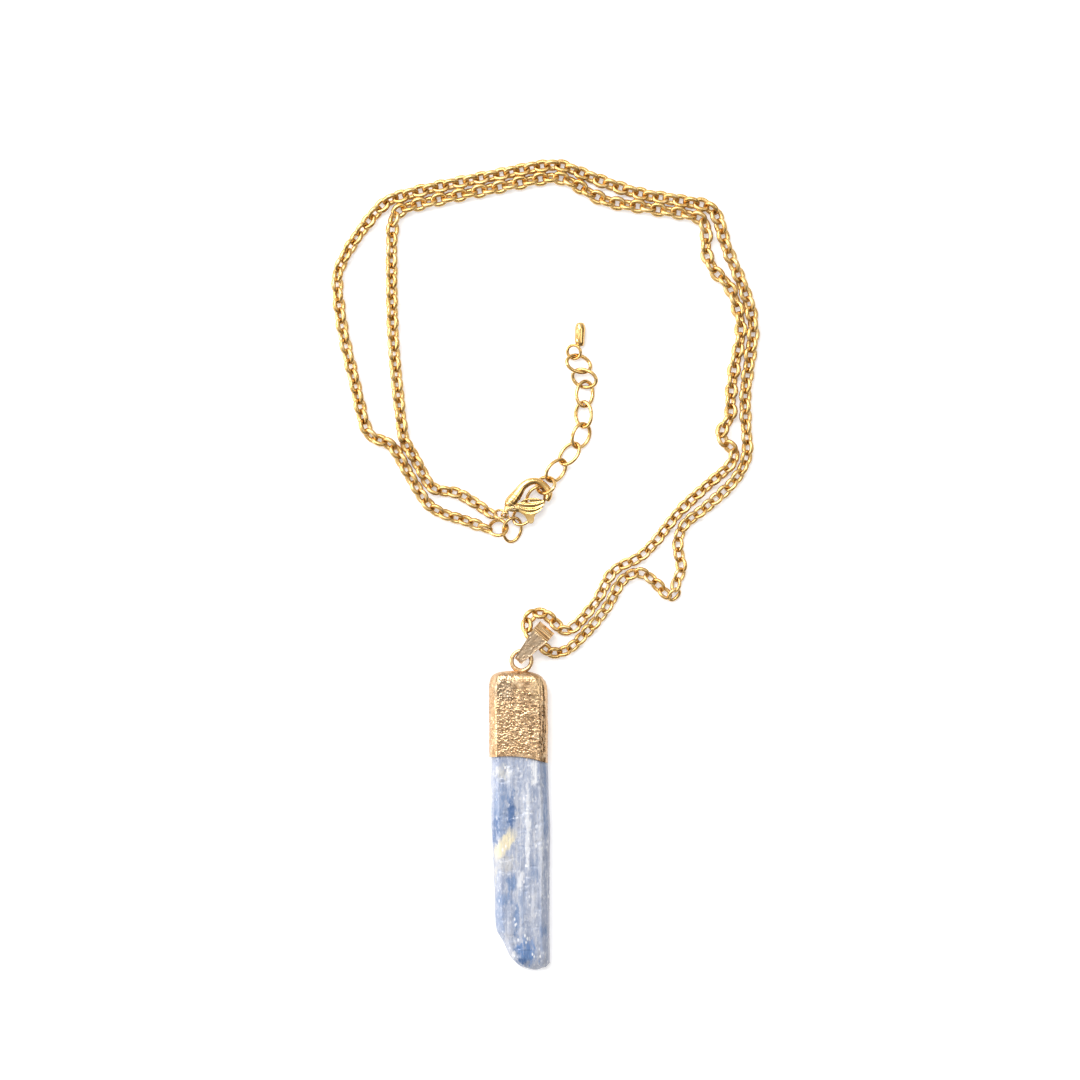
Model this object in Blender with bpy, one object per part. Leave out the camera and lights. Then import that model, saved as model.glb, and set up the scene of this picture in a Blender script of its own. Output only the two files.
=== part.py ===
"""Kyanite blade pendant necklace, laid flat on its back.

A natural kyanite blade sits in a thin metal cap. The cap's loop hangs in a
folded strap bail, and the neck chain runs through the bail. The chain's ends
meet at a lobster clasp, with an extension chain and an end drop.

Metres, +Z up. Positions in plan are given on a grid whose step is STEP: x to
the right, y down the necklace, with the pendant's middle at CENTRE. Heights
are in millimetres. Each solid is one closed body.
"""

import math

import bmesh
import bpy
import numpy as np
from mathutils import Euler, Matrix, Vector

# ---------------------------------------------------------------- dimensions
MM = 0.001
STEP = 0.00018  # one step of the plan grid
CENTRE = (522.0, 795.0)  # grid point at the origin
BLADE_TOP = 4.0  # mm, thickness of the blade
CAP_TOP = 4.4  # mm, thickness of the cap
CAP_WALL = 2.0  # steps
LOOP = (521.5, 660.6, 2.2)  # centre of the cap's loop
LOOP_RADIUS = 9.9  # steps, to the wire's middle
LOOP_WIRE = 1.95  # steps, wire radius
BAIL_TIP = (517.6, 661.4)
BAIL_ANGLE = 49.1  # degrees from +X
BAIL_STRAP = 0.42  # mm, thickness of the strap
CHAIN_RADIUS = 1.05  # mm, the reach of a link from the chain's middle
CHAIN_GAP = 12.2  # steps between the middles of two runs side by side
CHAIN_POINTS = 80
REST = 1.07  # mm, height of the chain's middle where it lies flat
CLASP_Z = 2.22  # mm, the clasp's middle plane
PIVOT = (513.8, 507.8)
LEVER_THICK = 0.92
SLOT_THICK = 1.2
PIN_RADIUS = 0.30
PIN_HOLE = 0.37
LINK_A, LINK_B, LINK_WIRE = 12.55, 9.0, 1.45  # steps, to the wire's middle
RING_STEPS = 22

GOLD = (0.83, 0.60, 0.28, 1.0)
ROSE = (0.72, 0.49, 0.30, 1.0)
STONE = (0.55, 0.60, 0.72, 1.0)


def plan(x, y, z=0.0):
    """Grid point and height in millimetres to metres."""
    return Vector(((x - CENTRE[0]) * STEP, (CENTRE[1] - y) * STEP, z * MM))


def material(name, colour, rough, metal):
    m = bpy.data.materials.new(name)
    m.use_nodes = True
    p = m.node_tree.nodes["Principled BSDF"]
    p.inputs["Base Color"].default_value = colour
    p.inputs["Roughness"].default_value = rough
    p.inputs["Metallic"].default_value = metal
    m.diffuse_color = colour
    return m


def add(name, data, mat=None):
    o = bpy.data.objects.new(name, data)
    bpy.context.scene.collection.objects.link(o)
    if mat is not None:
        o.data.materials.append(mat)
    return o


def finish_mesh(bm, name, mat, smooth_deg=50.0):
    bmesh.ops.recalc_face_normals(bm, faces=bm.faces)
    me = bpy.data.meshes.new(name)
    bm.to_mesh(me)
    bm.free()
    me.shade_smooth()
    me.set_sharp_from_angle(angle=math.radians(smooth_deg))
    return add(name, me, mat)


def loft(name, sections, mat, smooth_deg=50.0, origin=None):
    """A closed body through equal rings of points, with both ends filled."""
    o = Vector(origin) if origin is not None else Vector((0, 0, 0))
    bm = bmesh.new()
    rows = [[bm.verts.new(Vector(p) - o) for p in s] for s in sections]
    n = len(rows[0])
    for a, b in zip(rows, rows[1:]):
        for i in range(n):
            j = (i + 1) % n
            bm.faces.new((a[i], a[j], b[j], b[i]))
    bm.faces.new(rows[0][::-1])
    bm.faces.new(rows[-1])
    ob = finish_mesh(bm, name, mat, smooth_deg)
    ob.location = o
    return ob


def catmull(points, per_span):
    """A smooth curve through the points, each a tuple of any length."""
    p = [np.array(q, float) for q in points]
    p = [2 * p[0] - p[1]] + p + [2 * p[-1] - p[-2]]
    out = []
    for k in range(1, len(p) - 2):
        p0, p1, p2, p3 = p[k - 1], p[k], p[k + 1], p[k + 2]
        for s in range(per_span):
            t = s / per_span
            out.append(
                0.5
                * (
                    2 * p1
                    + (p2 - p0) * t
                    + (2 * p0 - 5 * p1 + 4 * p2 - p3) * t * t
                    + (3 * p1 - p0 - 3 * p2 + p3) * t**3
                )
            )
    out.append(p[-2])
    return np.array(out)


def bar(name, spine, mat, sides=12, per_span=2, origin=None):
    """A round bar along a spine of (x, y, height mm, radius in steps)."""
    c = catmull(spine, per_span)
    mid = [plan(q[0], q[1], q[2]) for q in c]
    sections = []
    for k, m in enumerate(mid):
        t = (mid[min(k + 1, len(mid) - 1)] - mid[max(k - 1, 0)]).normalized()
        side = Vector((0, 0, 1)).cross(t).normalized()
        up = t.cross(side)
        r = c[k][3] * STEP
        sections.append(
            [
                m + side * (r * math.cos(a)) + up * (r * math.sin(a))
                for a in (2 * math.pi * i / sides for i in range(sides))
            ]
        )
    return loft(name, sections, mat, 60.0, origin)


def prism(name, outline, z0, z1, mat, bevel=0.0, segments=1, origin=None):
    """A flat plate with the plan outline, from z0 to z1 millimetres."""
    o = Vector(origin) if origin is not None else Vector((0, 0, 0))
    bm = bmesh.new()
    low = [bm.verts.new(plan(x, y, z0) - o) for x, y in outline]
    face = bm.faces.new(low)
    up = bmesh.ops.extrude_face_region(bm, geom=[face])
    top = [g for g in up["geom"] if isinstance(g, bmesh.types.BMVert)]
    bmesh.ops.translate(bm, verts=top, vec=Vector((0, 0, (z1 - z0) * MM)))
    ob = finish_mesh(bm, name, mat, 40.0)
    ob.location = o
    if bevel:
        b = ob.modifiers.new("edge", "BEVEL")
        b.width = bevel * MM
        b.segments = segments
        b.limit_method = "ANGLE"
        b.angle_limit = math.radians(60)
    return ob


def guide(ob):
    """Marks an object as a cutter or a helper, not a piece."""
    ob.hide_render = True
    ob.display_type = "WIRE"
    return ob


def boolean(ob, other, op):
    m = ob.modifiers.new(op.lower(), "BOOLEAN")
    m.operation = op
    m.solver = "EXACT"
    m.object = guide(other)


def torus(name, x, y, z, radius, wire, tilt=(0, 0, 0), steps=32, sides=10):
    """A round ring as a mesh, for joining and cutting."""
    bpy.ops.mesh.primitive_torus_add(
        location=plan(x, y, z),
        rotation=[math.radians(a) for a in tilt],
        major_segments=steps,
        minor_segments=sides,
        major_radius=radius * STEP,
        minor_radius=wire * STEP,
    )
    ob = bpy.context.object
    ob.name = name
    return ob


def cylinder(name, x, y, z, radius_mm, depth_mm, sides=20, stretch=1.0, turn=0.0):
    bm = bmesh.new()
    bmesh.ops.create_cone(
        bm,
        cap_ends=True,
        segments=sides,
        radius1=radius_mm * MM,
        radius2=radius_mm * MM,
        depth=depth_mm * MM,
    )
    bmesh.ops.transform(
        bm,
        matrix=Matrix.Rotation(turn, 4, "Z") @ Matrix.Diagonal((stretch, 1, 1, 1)),
        verts=bm.verts,
    )
    bmesh.ops.recalc_face_normals(bm, faces=bm.faces)
    me = bpy.data.meshes.new(name)
    bm.to_mesh(me)
    bm.free()
    ob = add(name, me)
    ob.location = plan(x, y, z)
    return ob


def ring(name, x, y, z, a, b, wire, roll, pitch, heading, mat):
    """An oval wire ring: a and b are the half axes to the wire's middle."""
    cu = bpy.data.curves.new(name, "CURVE")
    cu.dimensions = "3D"
    cu.bevel_depth = wire * STEP
    cu.bevel_resolution = 2
    cu.twist_mode = "MINIMUM"
    sp = cu.splines.new("POLY")
    sp.points.add(RING_STEPS - 1)
    for k in range(RING_STEPS):
        t = 2 * math.pi * k / RING_STEPS
        sp.points[k].co = (a * STEP * math.cos(t), b * STEP * math.sin(t), 0, 1)
    sp.use_cyclic_u = True
    sp.use_smooth = True
    ob = add(name, cu, mat)
    ob.location = plan(x, y, z)
    ob.rotation_euler = Euler([math.radians(v) for v in (roll, pitch, heading)])
    return ob


# ------------------------------------------------------------------ the stone
def slab(y, xl, xr, zb, zt, skew=0.0):
    """One section of the blade or the cap: flat faces, bevelled long edges."""
    w = xr - xl
    s = min(1.0, w / 57.0)
    rows = [
        (xl + 5.0 * s, 0.0),
        (xl + 0.8 * s, 0.22),
        (xl, 0.42),
        (xl + 1.6 * s, 0.68),
        (xl + 7.5 * s, 0.965),
        (xl + 0.38 * w, 1.0),
        (xl + 0.62 * w, 0.99),
        (xr - 8.5 * s, 0.965),
        (xr - 2.2 * s, 0.76),
        (xr, 0.5),
        (xr - 0.6 * s, 0.24),
        (xr - 5.0 * s, 0.0),
    ]
    return [
        plan(x, y + skew * (x - 519.0) / 60.0, zb + f * (zt - zb)) for x, f in rows
    ]


def make_blade(mat):
    t = BLADE_TOP
    stations = [
        (684.0, 495.5, 541.0, 0.80, 3.3, 0.0),
        (690.0, 491.7, 544.7, 0.50, 3.88, 0.0),
        (720.0, 491.5, 545.2, 0.50, 3.9, 0.0),
        (758.6, 491.6, 545.6, 0.50, 3.9, 5.7),
        (760.2, 490.8, 548.0, 0.0, t, 5.7),
        (776.0, 490.6, 548.5, 0.0, t, 2.5),
        (794.0, 490.7, 548.9, 0.0, t, 0.0),
        (826.0, 491.6, 550.9, 0.0, t + 0.03, 0.0),
        (851.0, 492.4, 550.4, 0.0, t, 0.0),
        (875.0, 493.8, 549.7, 0.0, t - 0.03, 0.0),
        (900.0, 494.9, 549.6, 0.0, t, 0.0),
        (920.0, 495.2, 549.7, 0.0, t, 0.0),
        (936.0, 499.0, 549.9, 0.0, t - 0.05, 0.0),
        (945.0, 504.3, 550.2, 0.0, t - 0.2, 0.0),
        (956.0, 510.0, 550.4, 0.0, t - 0.5, 0.0),
        (963.0, 517.0, 550.0, 0.15, t - 1.1, 0.0),
        (967.5, 524.0, 545.5, 0.45, t - 1.8, 0.0),
        (969.8, 531.5, 537.5, 0.80, t - 2.4, 0.0),
    ]
    return loft("kyanite_blade", [slab(*s) for s in stations], mat, 25.0, plan(*LOOP))


def make_cap(mat):
    t = CAP_TOP
    outer = [
        (670.6, 506.0, 521.0, 1.7, 2.9, 0.0),
        (672.2, 497.5, 533.0, 0.95, 3.65, 0.0),
        (675.5, 492.0, 540.5, 0.4, 4.15, 0.0),
        (680.5, 489.4, 545.2, 0.1, 4.36, 0.0),
        (688.0, 488.5, 547.8, 0.0, t, 0.0),
        (710.0, 488.4, 548.3, 0.0, t, 0.0),
        (735.0, 488.7, 548.6, 0.0, t, 2.0),
        (757.9, 488.9, 548.6, 0.0, t, 5.7),
    ]
    w = CAP_WALL
    inner = [
        (757.9, 488.9 + w, 548.6 - w, 0.36, t - 0.36, 5.7),
        (735.0, 488.7 + w, 548.6 - w, 0.36, t - 0.36, 2.0),
        (710.0, 488.4 + w, 548.3 - w, 0.36, t - 0.36, 0.0),
        (690.0, 488.5 + w, 547.8 - w, 0.36, t - 0.36, 0.0),
        (682.0, 491.4, 543.2, 0.45, 3.95, 0.0),
        (677.5, 496.0, 538.0, 0.9, 3.5, 0.0),
    ]
    cap = loft("gold_cap", [slab(*s) for s in outer + inner], mat, 35.0, plan(*LOOP))
    # the seat that the loop is set in, then the loop's own place in it
    bm = bmesh.new()
    bmesh.ops.create_uvsphere(bm, u_segments=16, v_segments=8, radius=1.0)
    bmesh.ops.transform(
        bm, matrix=Matrix.Diagonal((10.5 * STEP, 4.6 * STEP, 1.0 * MM, 1)), verts=bm.verts
    )
    me = bpy.data.meshes.new("seat")
    bm.to_mesh(me)
    bm.free()
    seat = add("seat", me)
    seat.location = plan(522.0, 672.2, LOOP[2])
    boolean(cap, seat, "UNION")
    groove = torus("groove", *LOOP, LOOP_RADIUS, LOOP_WIRE + 0.7, steps=32, sides=10)
    boolean(cap, groove, "DIFFERENCE")
    return cap


# ------------------------------------------------------------------- the bail
def make_bail(mat):
    """A folded strap: a band, thick at the top and narrow at the loop.

    u runs up the strap from its lower fold, z is height, both millimetres."""
    outer = [
        (0.0, 2.2), (0.14, 2.66), (0.55, 2.94), (1.4, 3.1), (2.4, 3.27),
        (3.6, 3.5), (4.8, 3.74), (5.9, 3.95), (6.2, 3.96), (6.45, 3.82),
        (7.2, 3.1), (7.95, 2.36), (8.16, 1.95), (8.2, 1.4), (8.1, 0.8),
        (7.85, 0.32), (7.35, 0.03), (6.6, 0.0), (5.8, 0.02), (4.9, 0.2),
        (3.8, 0.52), (2.7, 0.88), (1.6, 1.24), (0.65, 1.46), (0.14, 1.74),
    ]  # fmt: skip
    n = len(outer)
    inner = []
    for k in range(n):
        a = Vector(outer[k - 1])
        p = Vector(outer[k])
        b = Vector(outer[(k + 1) % n])
        d1, d2 = (p - a).normalized(), (b - p).normalized()
        n1, n2 = Vector((d1.y, -d1.x)), Vector((d2.y, -d2.x))
        m = (n1 + n2).normalized()
        reach = BAIL_STRAP / max(0.55, m.dot(n1))
        if k in (0,):
            reach = BAIL_STRAP
        inner.append(p + m * reach)

    def half(u):
        return (4.4 + (9.4 - 4.4) * min(max(u, 0.0) / 6.3, 1.0)) * STEP

    bm = bmesh.new()
    loops = []
    for prof in (outer, inner):
        for s in (-1, 1):
            loops.append(
                [
                    bm.verts.new((q[0] * MM, s * half(q[0]), q[1] * MM))
                    for q in (Vector(v) for v in prof)
                ]
            )
    ol, orr, il, ir = loops
    for k in range(n):
        j = (k + 1) % n
        bm.faces.new((ol[k], ol[j], orr[j], orr[k]))
        bm.faces.new((il[k], ir[k], ir[j], il[j]))
        bm.faces.new((ol[k], il[k], il[j], ol[j]))
        bm.faces.new((orr[k], orr[j], ir[j], ir[k]))
    ob = finish_mesh(bm, "bail", mat, 30.0)
    ob.location = plan(*BAIL_TIP, 0.0)
    ob.rotation_euler = Euler((0, 0, math.radians(BAIL_ANGLE)))
    return ob


# ------------------------------------------------------------------ the chain
# The chain's middle, from the clasp's jump ring, round the left side, across
# the top and down the right side to the bail, then back beside itself to the
# end ring. A third number is the height in millimetres where it leaves the
# surface.
FIRST_RUN = [
    (490.0, 513.2, 1.7), (478.0, 505.0, 1.2), (458.0, 493.5), (440.0, 490.3),
    (429.5, 485.5), (417.5, 467.0), (405.0, 446.0), (402.0, 428.0),
    (396.8, 382.0), (393.0, 335.0), (391.6, 275.0), (392.5, 228.0),
    (398.0, 212.0), (413.0, 205.0), (447.0, 196.2), (503.0, 185.6),
    (545.0, 177.3), (565.0, 178.5), (595.0, 195.8), (616.0, 203.0),
    (654.0, 208.0), (690.0, 215.0), (703.0, 221.0), (706.5, 236.0),
    (706.5, 253.0), (715.0, 271.0), (729.0, 286.0), (739.0, 310.0),
    (741.0, 334.0), (734.0, 370.0), (730.8, 400.0), (730.5, 416.0),
    (722.0, 431.0), (724.0, 441.5), (734.0, 450.5), (731.5, 464.0),
    (710.0, 483.0), (680.0, 511.0), (656.0, 541.0), (639.0, 557.5),
    (613.0, 572.0), (600.5, 595.0), (583.5, 618.0), (568.5, 630.0),
    (559.5, 627.5), (545.5, 614.3), (532.3, 614.8, 1.15), (526.8, 623.5, 1.5),
]  # fmt: skip
SECOND_RUN = [
    (530.0, 634.0, 1.9), (537.0, 641.3, 1.98), (545.0, 648.5, 1.88),
    (556.0, 653.0, 1.35), (571.0, 647.5), (587.0, 631.5), (607.5, 606.5),
    (616.0, 589.5), (627.5, 576.0), (641.0, 573.0), (655.0, 582.0),
    (666.0, 594.0), (674.0, 595.0), (676.5, 582.0), (681.5, 568.0),
    (678.0, 545.0), (684.5, 525.0), (707.0, 506.5), (735.0, 480.0),
    (747.0, 453.0), (746.5, 430.0), (745.5, 395.0), (750.5, 355.0),
    (753.0, 325.0), (742.0, 284.0), (727.0, 248.0), (717.5, 217.0),
    (706.0, 205.5), (676.0, 200.3), (645.0, 195.0), (606.5, 182.8),
    (567.0, 168.0), (546.0, 166.3), (506.5, 173.2), (446.0, 186.2),
    (402.5, 196.0), (383.0, 204.5), (358.0, 235.0), (341.0, 264.0),
    (337.3, 285.0), (343.0, 332.0), (355.0, 384.0), (364.5, 424.0),
    (372.5, 437.0), (388.0, 443.0), (400.5, 454.0), (412.0, 477.0),
    (426.5, 502.5), (443.5, 513.8), (465.0, 520.5), (485.2, 528.2, 1.25),
]  # fmt: skip


def chain_path():
    """The smooth route in metres, with neighbouring runs kept side by side."""
    pts = [(p[0], p[1], p[2] if len(p) > 2 else REST) for p in FIRST_RUN + SECOND_RUN]
    c = catmull(pts, 24)
    d = np.concatenate([[0], np.cumsum(np.linalg.norm(np.diff(c[:, :2], axis=0), axis=1))])
    n = int(d[-1] / 2.5)
    s = np.linspace(0, d[-1], n)
    c = np.stack([np.interp(s, d, c[:, k]) for k in range(3)], 1)
    far = np.abs(s[:, None] - s[None, :]) > 34.0
    kernel = np.hanning(13)
    kernel /= kernel.sum()
    for _ in range(40):
        diff = c[:, None, :2] - c[None, :, :2]
        dist = np.linalg.norm(diff, axis=2) + 1e-9
        lack = np.where(far, np.clip(CHAIN_GAP - dist, 0, None), 0.0)
        if lack.max() < 0.05:
            break
        near = np.argmax(lack, axis=1)
        k = np.arange(n)
        push = diff[k, near] / dist[k, near][:, None] * (lack[k, near] * 0.6)[:, None]
        for a in range(2):
            c[:, a] += np.convolve(np.pad(push[:, a], 6, mode="edge"), kernel, "valid")
    return c


def thin_out(c, count):
    """Points along the route, closer together where it bends."""
    t = np.gradient(c[:, :2], axis=0)
    ang = np.unwrap(np.arctan2(t[:, 1], t[:, 0]))
    step = np.linalg.norm(t, axis=1)
    bend = np.abs(np.gradient(ang)) / step
    bend = np.convolve(np.pad(bend, 4, mode="edge"), np.ones(9) / 9, "valid")
    weight = (np.sqrt(bend) + 0.045) * step
    run = np.concatenate([[0], np.cumsum((weight[1:] + weight[:-1]) / 2)])
    at = np.interp(np.linspace(0, run[-1], count), run, np.arange(len(c)))
    k = np.arange(len(c))
    return np.stack([np.interp(at, k, c[:, a]) for a in range(3)], 1)


def make_chain(mat):
    pts = thin_out(chain_path(), CHAIN_POINTS)
    cu = bpy.data.curves.new("chain", "CURVE")
    cu.dimensions = "3D"
    cu.bevel_depth = CHAIN_RADIUS * MM
    cu.bevel_resolution = 2
    cu.use_fill_caps = True
    cu.twist_mode = "MINIMUM"
    sp = cu.splines.new("POLY")
    sp.points.add(len(pts) - 1)
    for k, p in enumerate(pts):
        v = plan(*p)
        sp.points[k].co = (v.x, v.y, v.z, 1)
    sp.use_smooth = True
    return add("chain", cu, mat)


# ------------------------------------------------------------------ the clasp
def make_clasp(mat):
    z = CLASP_Z
    body = bar(
        "clasp_body",
        [
            (505.8, 511.8, z + 0.4, 2.0), (507.3, 508.0, z, 3.2),
            (509.8, 504.3, z, 6.0), (513.5, 499.3, z, 6.3),
            (518.0, 493.0, z, 5.1), (523.0, 486.3, z, 4.1),
            (529.0, 482.2, z, 3.9), (535.3, 481.0, z, 3.4),
            (540.6, 482.9, z, 3.3), (545.0, 486.4, z, 3.4),
            (548.3, 490.8, z, 3.7), (548.8, 495.2, z, 3.6),
            (547.7, 499.2, z, 2.9), (546.9, 501.2, z, 1.9),
        ],
        mat,
        sides=12,
        per_span=2,
    )  # fmt: skip
    # the jaw that the lever turns in
    jaw = bar(
        "jaw",
        [
            (507.0, 508.0, z, 3.6), (510.0, 508.0, z, 5.0),
            (514.5, 508.0, z, 5.5), (519.0, 508.0, z, 5.4),
        ],
        None,
        sides=12,
        per_span=1,
    )  # fmt: skip
    boolean(body, jaw, "UNION")
    eye = torus("eye", 505.3, 515.2, z, 3.6, 1.2, (50, 0, 0), steps=16, sides=8)
    boolean(body, eye, "UNION")
    slot = prism(
        "slot",
        [(508.8, 500.4), (523.5, 500.4), (523.5, 516.0), (508.8, 516.0)],
        z - SLOT_THICK / 2,
        z + SLOT_THICK / 2,
        None,
    )
    boolean(body, slot, "DIFFERENCE")
    boolean(body, cylinder("pin_bore", *PIVOT, z, PIN_HOLE, 4.0, 16), "DIFFERENCE")

    lever = prism(
        "clasp_lever",
        [
            (511.0, 504.9), (514.5, 503.9), (519.5, 502.6), (522.3, 500.6),
            (526.0, 498.8), (531.0, 498.0), (536.0, 498.2), (540.5, 499.2),
            (543.7, 500.7), (544.2, 503.0), (542.9, 506.8), (540.3, 510.6),
            (537.0, 513.6), (533.7, 515.9), (534.2, 519.5), (532.8, 523.2),
            (529.6, 523.4), (527.2, 520.2), (524.8, 516.2), (522.0, 514.0),
            (519.5, 512.6), (514.5, 511.8), (511.0, 510.7), (509.9, 507.8),
        ],
        z - LEVER_THICK / 2,
        z + LEVER_THICK / 2,
        mat,
        bevel=0.2,
        segments=2,
        origin=plan(*PIVOT, z),
    )  # fmt: skip
    boolean(
        lever,
        cylinder("lever_bore", *PIVOT, z, PIN_HOLE, 4.0, 16),
        "DIFFERENCE",
    )
    boolean(
        lever,
        cylinder("lever_window", 527.6, 501.6, z, 0.28, 4.0, 12, 1.55, 0.25),
        "DIFFERENCE",
    )
    pin = cylinder("clasp_pin", *PIVOT, z, PIN_RADIUS, 2.0, 16)
    pin.data.shade_smooth()
    pin.data.set_sharp_from_angle(angle=math.radians(40))
    pin.data.materials.append(mat)
    return body, lever, pin


# ------------------------------------------------------------ rings and links
# name, x, y, height mm, half axes, wire radius, roll, pitch, heading
RINGS = [
    ("clasp_jump_ring", 500.1, 514.2, 1.96, 5.4, 5.4, 1.25, -39.5, 0.5, -1),
    ("chain_end_ring", 498.3, 527.9, 1.21, 8.9, 8.9, 1.45, -31, -2.5, 2.5),
    ("extension_link_01", 512.3, 529.6, 0.95, 12.3, 9.2, 1.45, -17, 12, -100.5),
    ("extension_link_02", 523.9, 514.3, 0.89, LINK_A, LINK_B, LINK_WIRE, -18.5, 7.5, 46.5),
    ("extension_link_03", 535.7, 499.0, 1.03, LINK_A, LINK_B, LINK_WIRE, 15, -16, 72.5),
    ("extension_link_04", 545.7, 485.2, 2.01, LINK_A, LINK_B, LINK_WIRE, -9.5, -49.5, -24.5),
    ("extension_link_05", 556.1, 470.6, 1.57, LINK_A, LINK_B, LINK_WIRE, 31.5, 8, 49.5),
    ("extension_link_06", 569.6, 453.8, 1.25, LINK_A, LINK_B, LINK_WIRE, -34.5, 1.5, 51),
    ("extension_link_07", 580.9, 435.6, 1.01, LINK_A, LINK_B, LINK_WIRE, 27, 1.5, 67.5),
    ("extension_link_08", 583.7, 414.4, 1.10, LINK_A, LINK_B, LINK_WIRE, -30, 1, 90.5),
    ("extension_link_09", 584.8, 393.7, 0.99, LINK_A, LINK_B, LINK_WIRE, 24, 7.5, 82),
    ("extension_link_10", 584.3, 378.3, 1.19, LINK_A, LINK_B, LINK_WIRE, 23, -12, -18),
    ("extension_link_11", 578.8, 363.8, 1.15, LINK_A, LINK_B, LINK_WIRE, -22, 17, -13.5),
]


def make_drop(mat):
    """A rounded peg with a flank beside its eye."""
    drop = bar(
        "end_drop",
        [
            (580.3, 322.2, 0.97, 1.6), (580.3, 323.6, 0.97, 3.9),
            (580.2, 328.0, 0.98, 5.2), (580.0, 334.0, 1.0, 5.1),
            (579.7, 339.5, 1.02, 5.0), (580.2, 343.5, 1.05, 4.4),
            (580.6, 346.2, 1.1, 3.0),
        ],
        mat,
        sides=12,
        per_span=1,
    )  # fmt: skip
    eye = torus(
        "drop_eye", 574.0, 351.9, 1.17, 6.95, 1.55, (-14, -20, 72), steps=20, sides=8
    )
    boolean(drop, eye, "UNION")
    return drop


def main():
    for ob in list(bpy.data.objects):
        bpy.data.objects.remove(ob, do_unlink=True)

    stone = material("kyanite", STONE, 0.35, 0.0)
    rose = material("rose_gold", ROSE, 0.35, 1.0)
    gold = material("yellow_gold", GOLD, 0.2, 1.0)

    make_blade(stone)
    make_cap(rose)
    loop = ring("cap_loop", *LOOP, LOOP_RADIUS, LOOP_RADIUS, LOOP_WIRE, 0, 0, 0, rose)
    loop.data.bevel_resolution = 2
    make_bail(rose)
    make_chain(gold)
    make_clasp(gold)
    for row in RINGS:
        ring(*row, gold)
    make_drop(gold)


main()
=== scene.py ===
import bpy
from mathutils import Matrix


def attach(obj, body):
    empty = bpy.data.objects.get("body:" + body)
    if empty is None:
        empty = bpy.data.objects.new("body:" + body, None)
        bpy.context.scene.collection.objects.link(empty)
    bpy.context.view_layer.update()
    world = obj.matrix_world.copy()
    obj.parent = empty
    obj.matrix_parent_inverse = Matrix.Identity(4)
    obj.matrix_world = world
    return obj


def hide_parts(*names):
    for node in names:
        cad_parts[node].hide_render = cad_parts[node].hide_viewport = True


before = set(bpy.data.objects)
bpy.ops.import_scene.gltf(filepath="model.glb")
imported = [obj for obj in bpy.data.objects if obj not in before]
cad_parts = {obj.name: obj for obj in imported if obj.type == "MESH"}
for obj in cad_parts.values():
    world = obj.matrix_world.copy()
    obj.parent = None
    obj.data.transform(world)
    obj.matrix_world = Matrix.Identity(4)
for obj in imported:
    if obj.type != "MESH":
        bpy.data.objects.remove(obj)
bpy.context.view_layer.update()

import math

import bmesh
import bpy
import numpy as np
from mathutils import Euler, Matrix, Vector

# ---------------------------------------------------------------- dimensions
MM = 0.001
STEP = 0.00018  # one step of the plan grid, as in the CAD
CENTRE = (522.0, 795.0)
ROOT, PENDANT, LEVER = "chain_and_clasp", "pendant", "lever"
BLADE_TOP, CAP_TOP, CAP_WALL = 4.0, 4.4, 2.0
LOOP = (521.5, 660.6, 2.2)
LOOP_RADIUS, LOOP_WIRE = 9.9, 2.15
BAIL_TIP, BAIL_ANGLE, BAIL_STRAP = (517.6, 661.4), 49.1, 0.42
CLASP_Z = 2.22
PIVOT = (513.8, 507.8)
CHAIN_GAP = 12.2
REST = 1.07
LINK_A, LINK_B, LINK_WIRE = 12.55, 9.0, 1.45


def plan(x, y, z=0.0):
    return Vector(((x - CENTRE[0]) * STEP, (CENTRE[1] - y) * STEP, z * MM))


# --------------------------------------------------------------------- camera
VIEW_CENTRE = plan(540.0, 540.0)
CAM_Z = 0.62
cam_data = bpy.data.cameras.new("camera")
cam_data.sensor_width = 36.0
cam_data.lens = 36.0 * (CAM_Z - 0.0015) / (1080 * STEP)
cam_data.clip_start, cam_data.clip_end = 0.02, 10.0
cam = bpy.data.objects.new("camera", cam_data)
bpy.context.scene.collection.objects.link(cam)
cam.location = (VIEW_CENTRE.x, VIEW_CENTRE.y, CAM_Z)
bpy.context.scene.camera = cam


# ---------------------------------------------------------------------- noise
def hashed(ix, iy, iz, seed):
    h = (ix * 374761393 + iy * 668265263 + iz * 2246822519 + seed * 3266489917) & 0xFFFFFFFF
    h = ((h ^ (h >> 13)) * 1274126177) & 0xFFFFFFFF
    h = ((h ^ (h >> 15)) * 2246822519) & 0xFFFFFFFF
    return ((h ^ (h >> 16)) & 0xFFFFFF) / float(0xFFFFFF)


def value_noise(p, seed=0):
    """Smooth noise from -1 to 1 at the points p, an array of n by 3."""
    p = np.asarray(p, float)
    i = np.floor(p).astype(np.int64)
    f = p - i
    f = f * f * f * (f * (f * 6 - 15) + 10)
    out = 0.0
    for dx in (0, 1):
        for dy in (0, 1):
            for dz in (0, 1):
                w = (
                    (f[:, 0] if dx else 1 - f[:, 0])
                    * (f[:, 1] if dy else 1 - f[:, 1])
                    * (f[:, 2] if dz else 1 - f[:, 2])
                )
                out = out + w * hashed(i[:, 0] + dx, i[:, 1] + dy, i[:, 2] + dz, seed)
    return out * 2 - 1


def fbm(p, octaves=4, seed=0, gain=0.5):
    p = np.asarray(p, float)
    out, amp, tot = 0.0, 1.0, 0.0
    for k in range(octaves):
        out = out + amp * value_noise(p * 2.0**k + 17.3 * k, seed + k)
        tot += amp
        amp *= gain
    return out / tot


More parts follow.
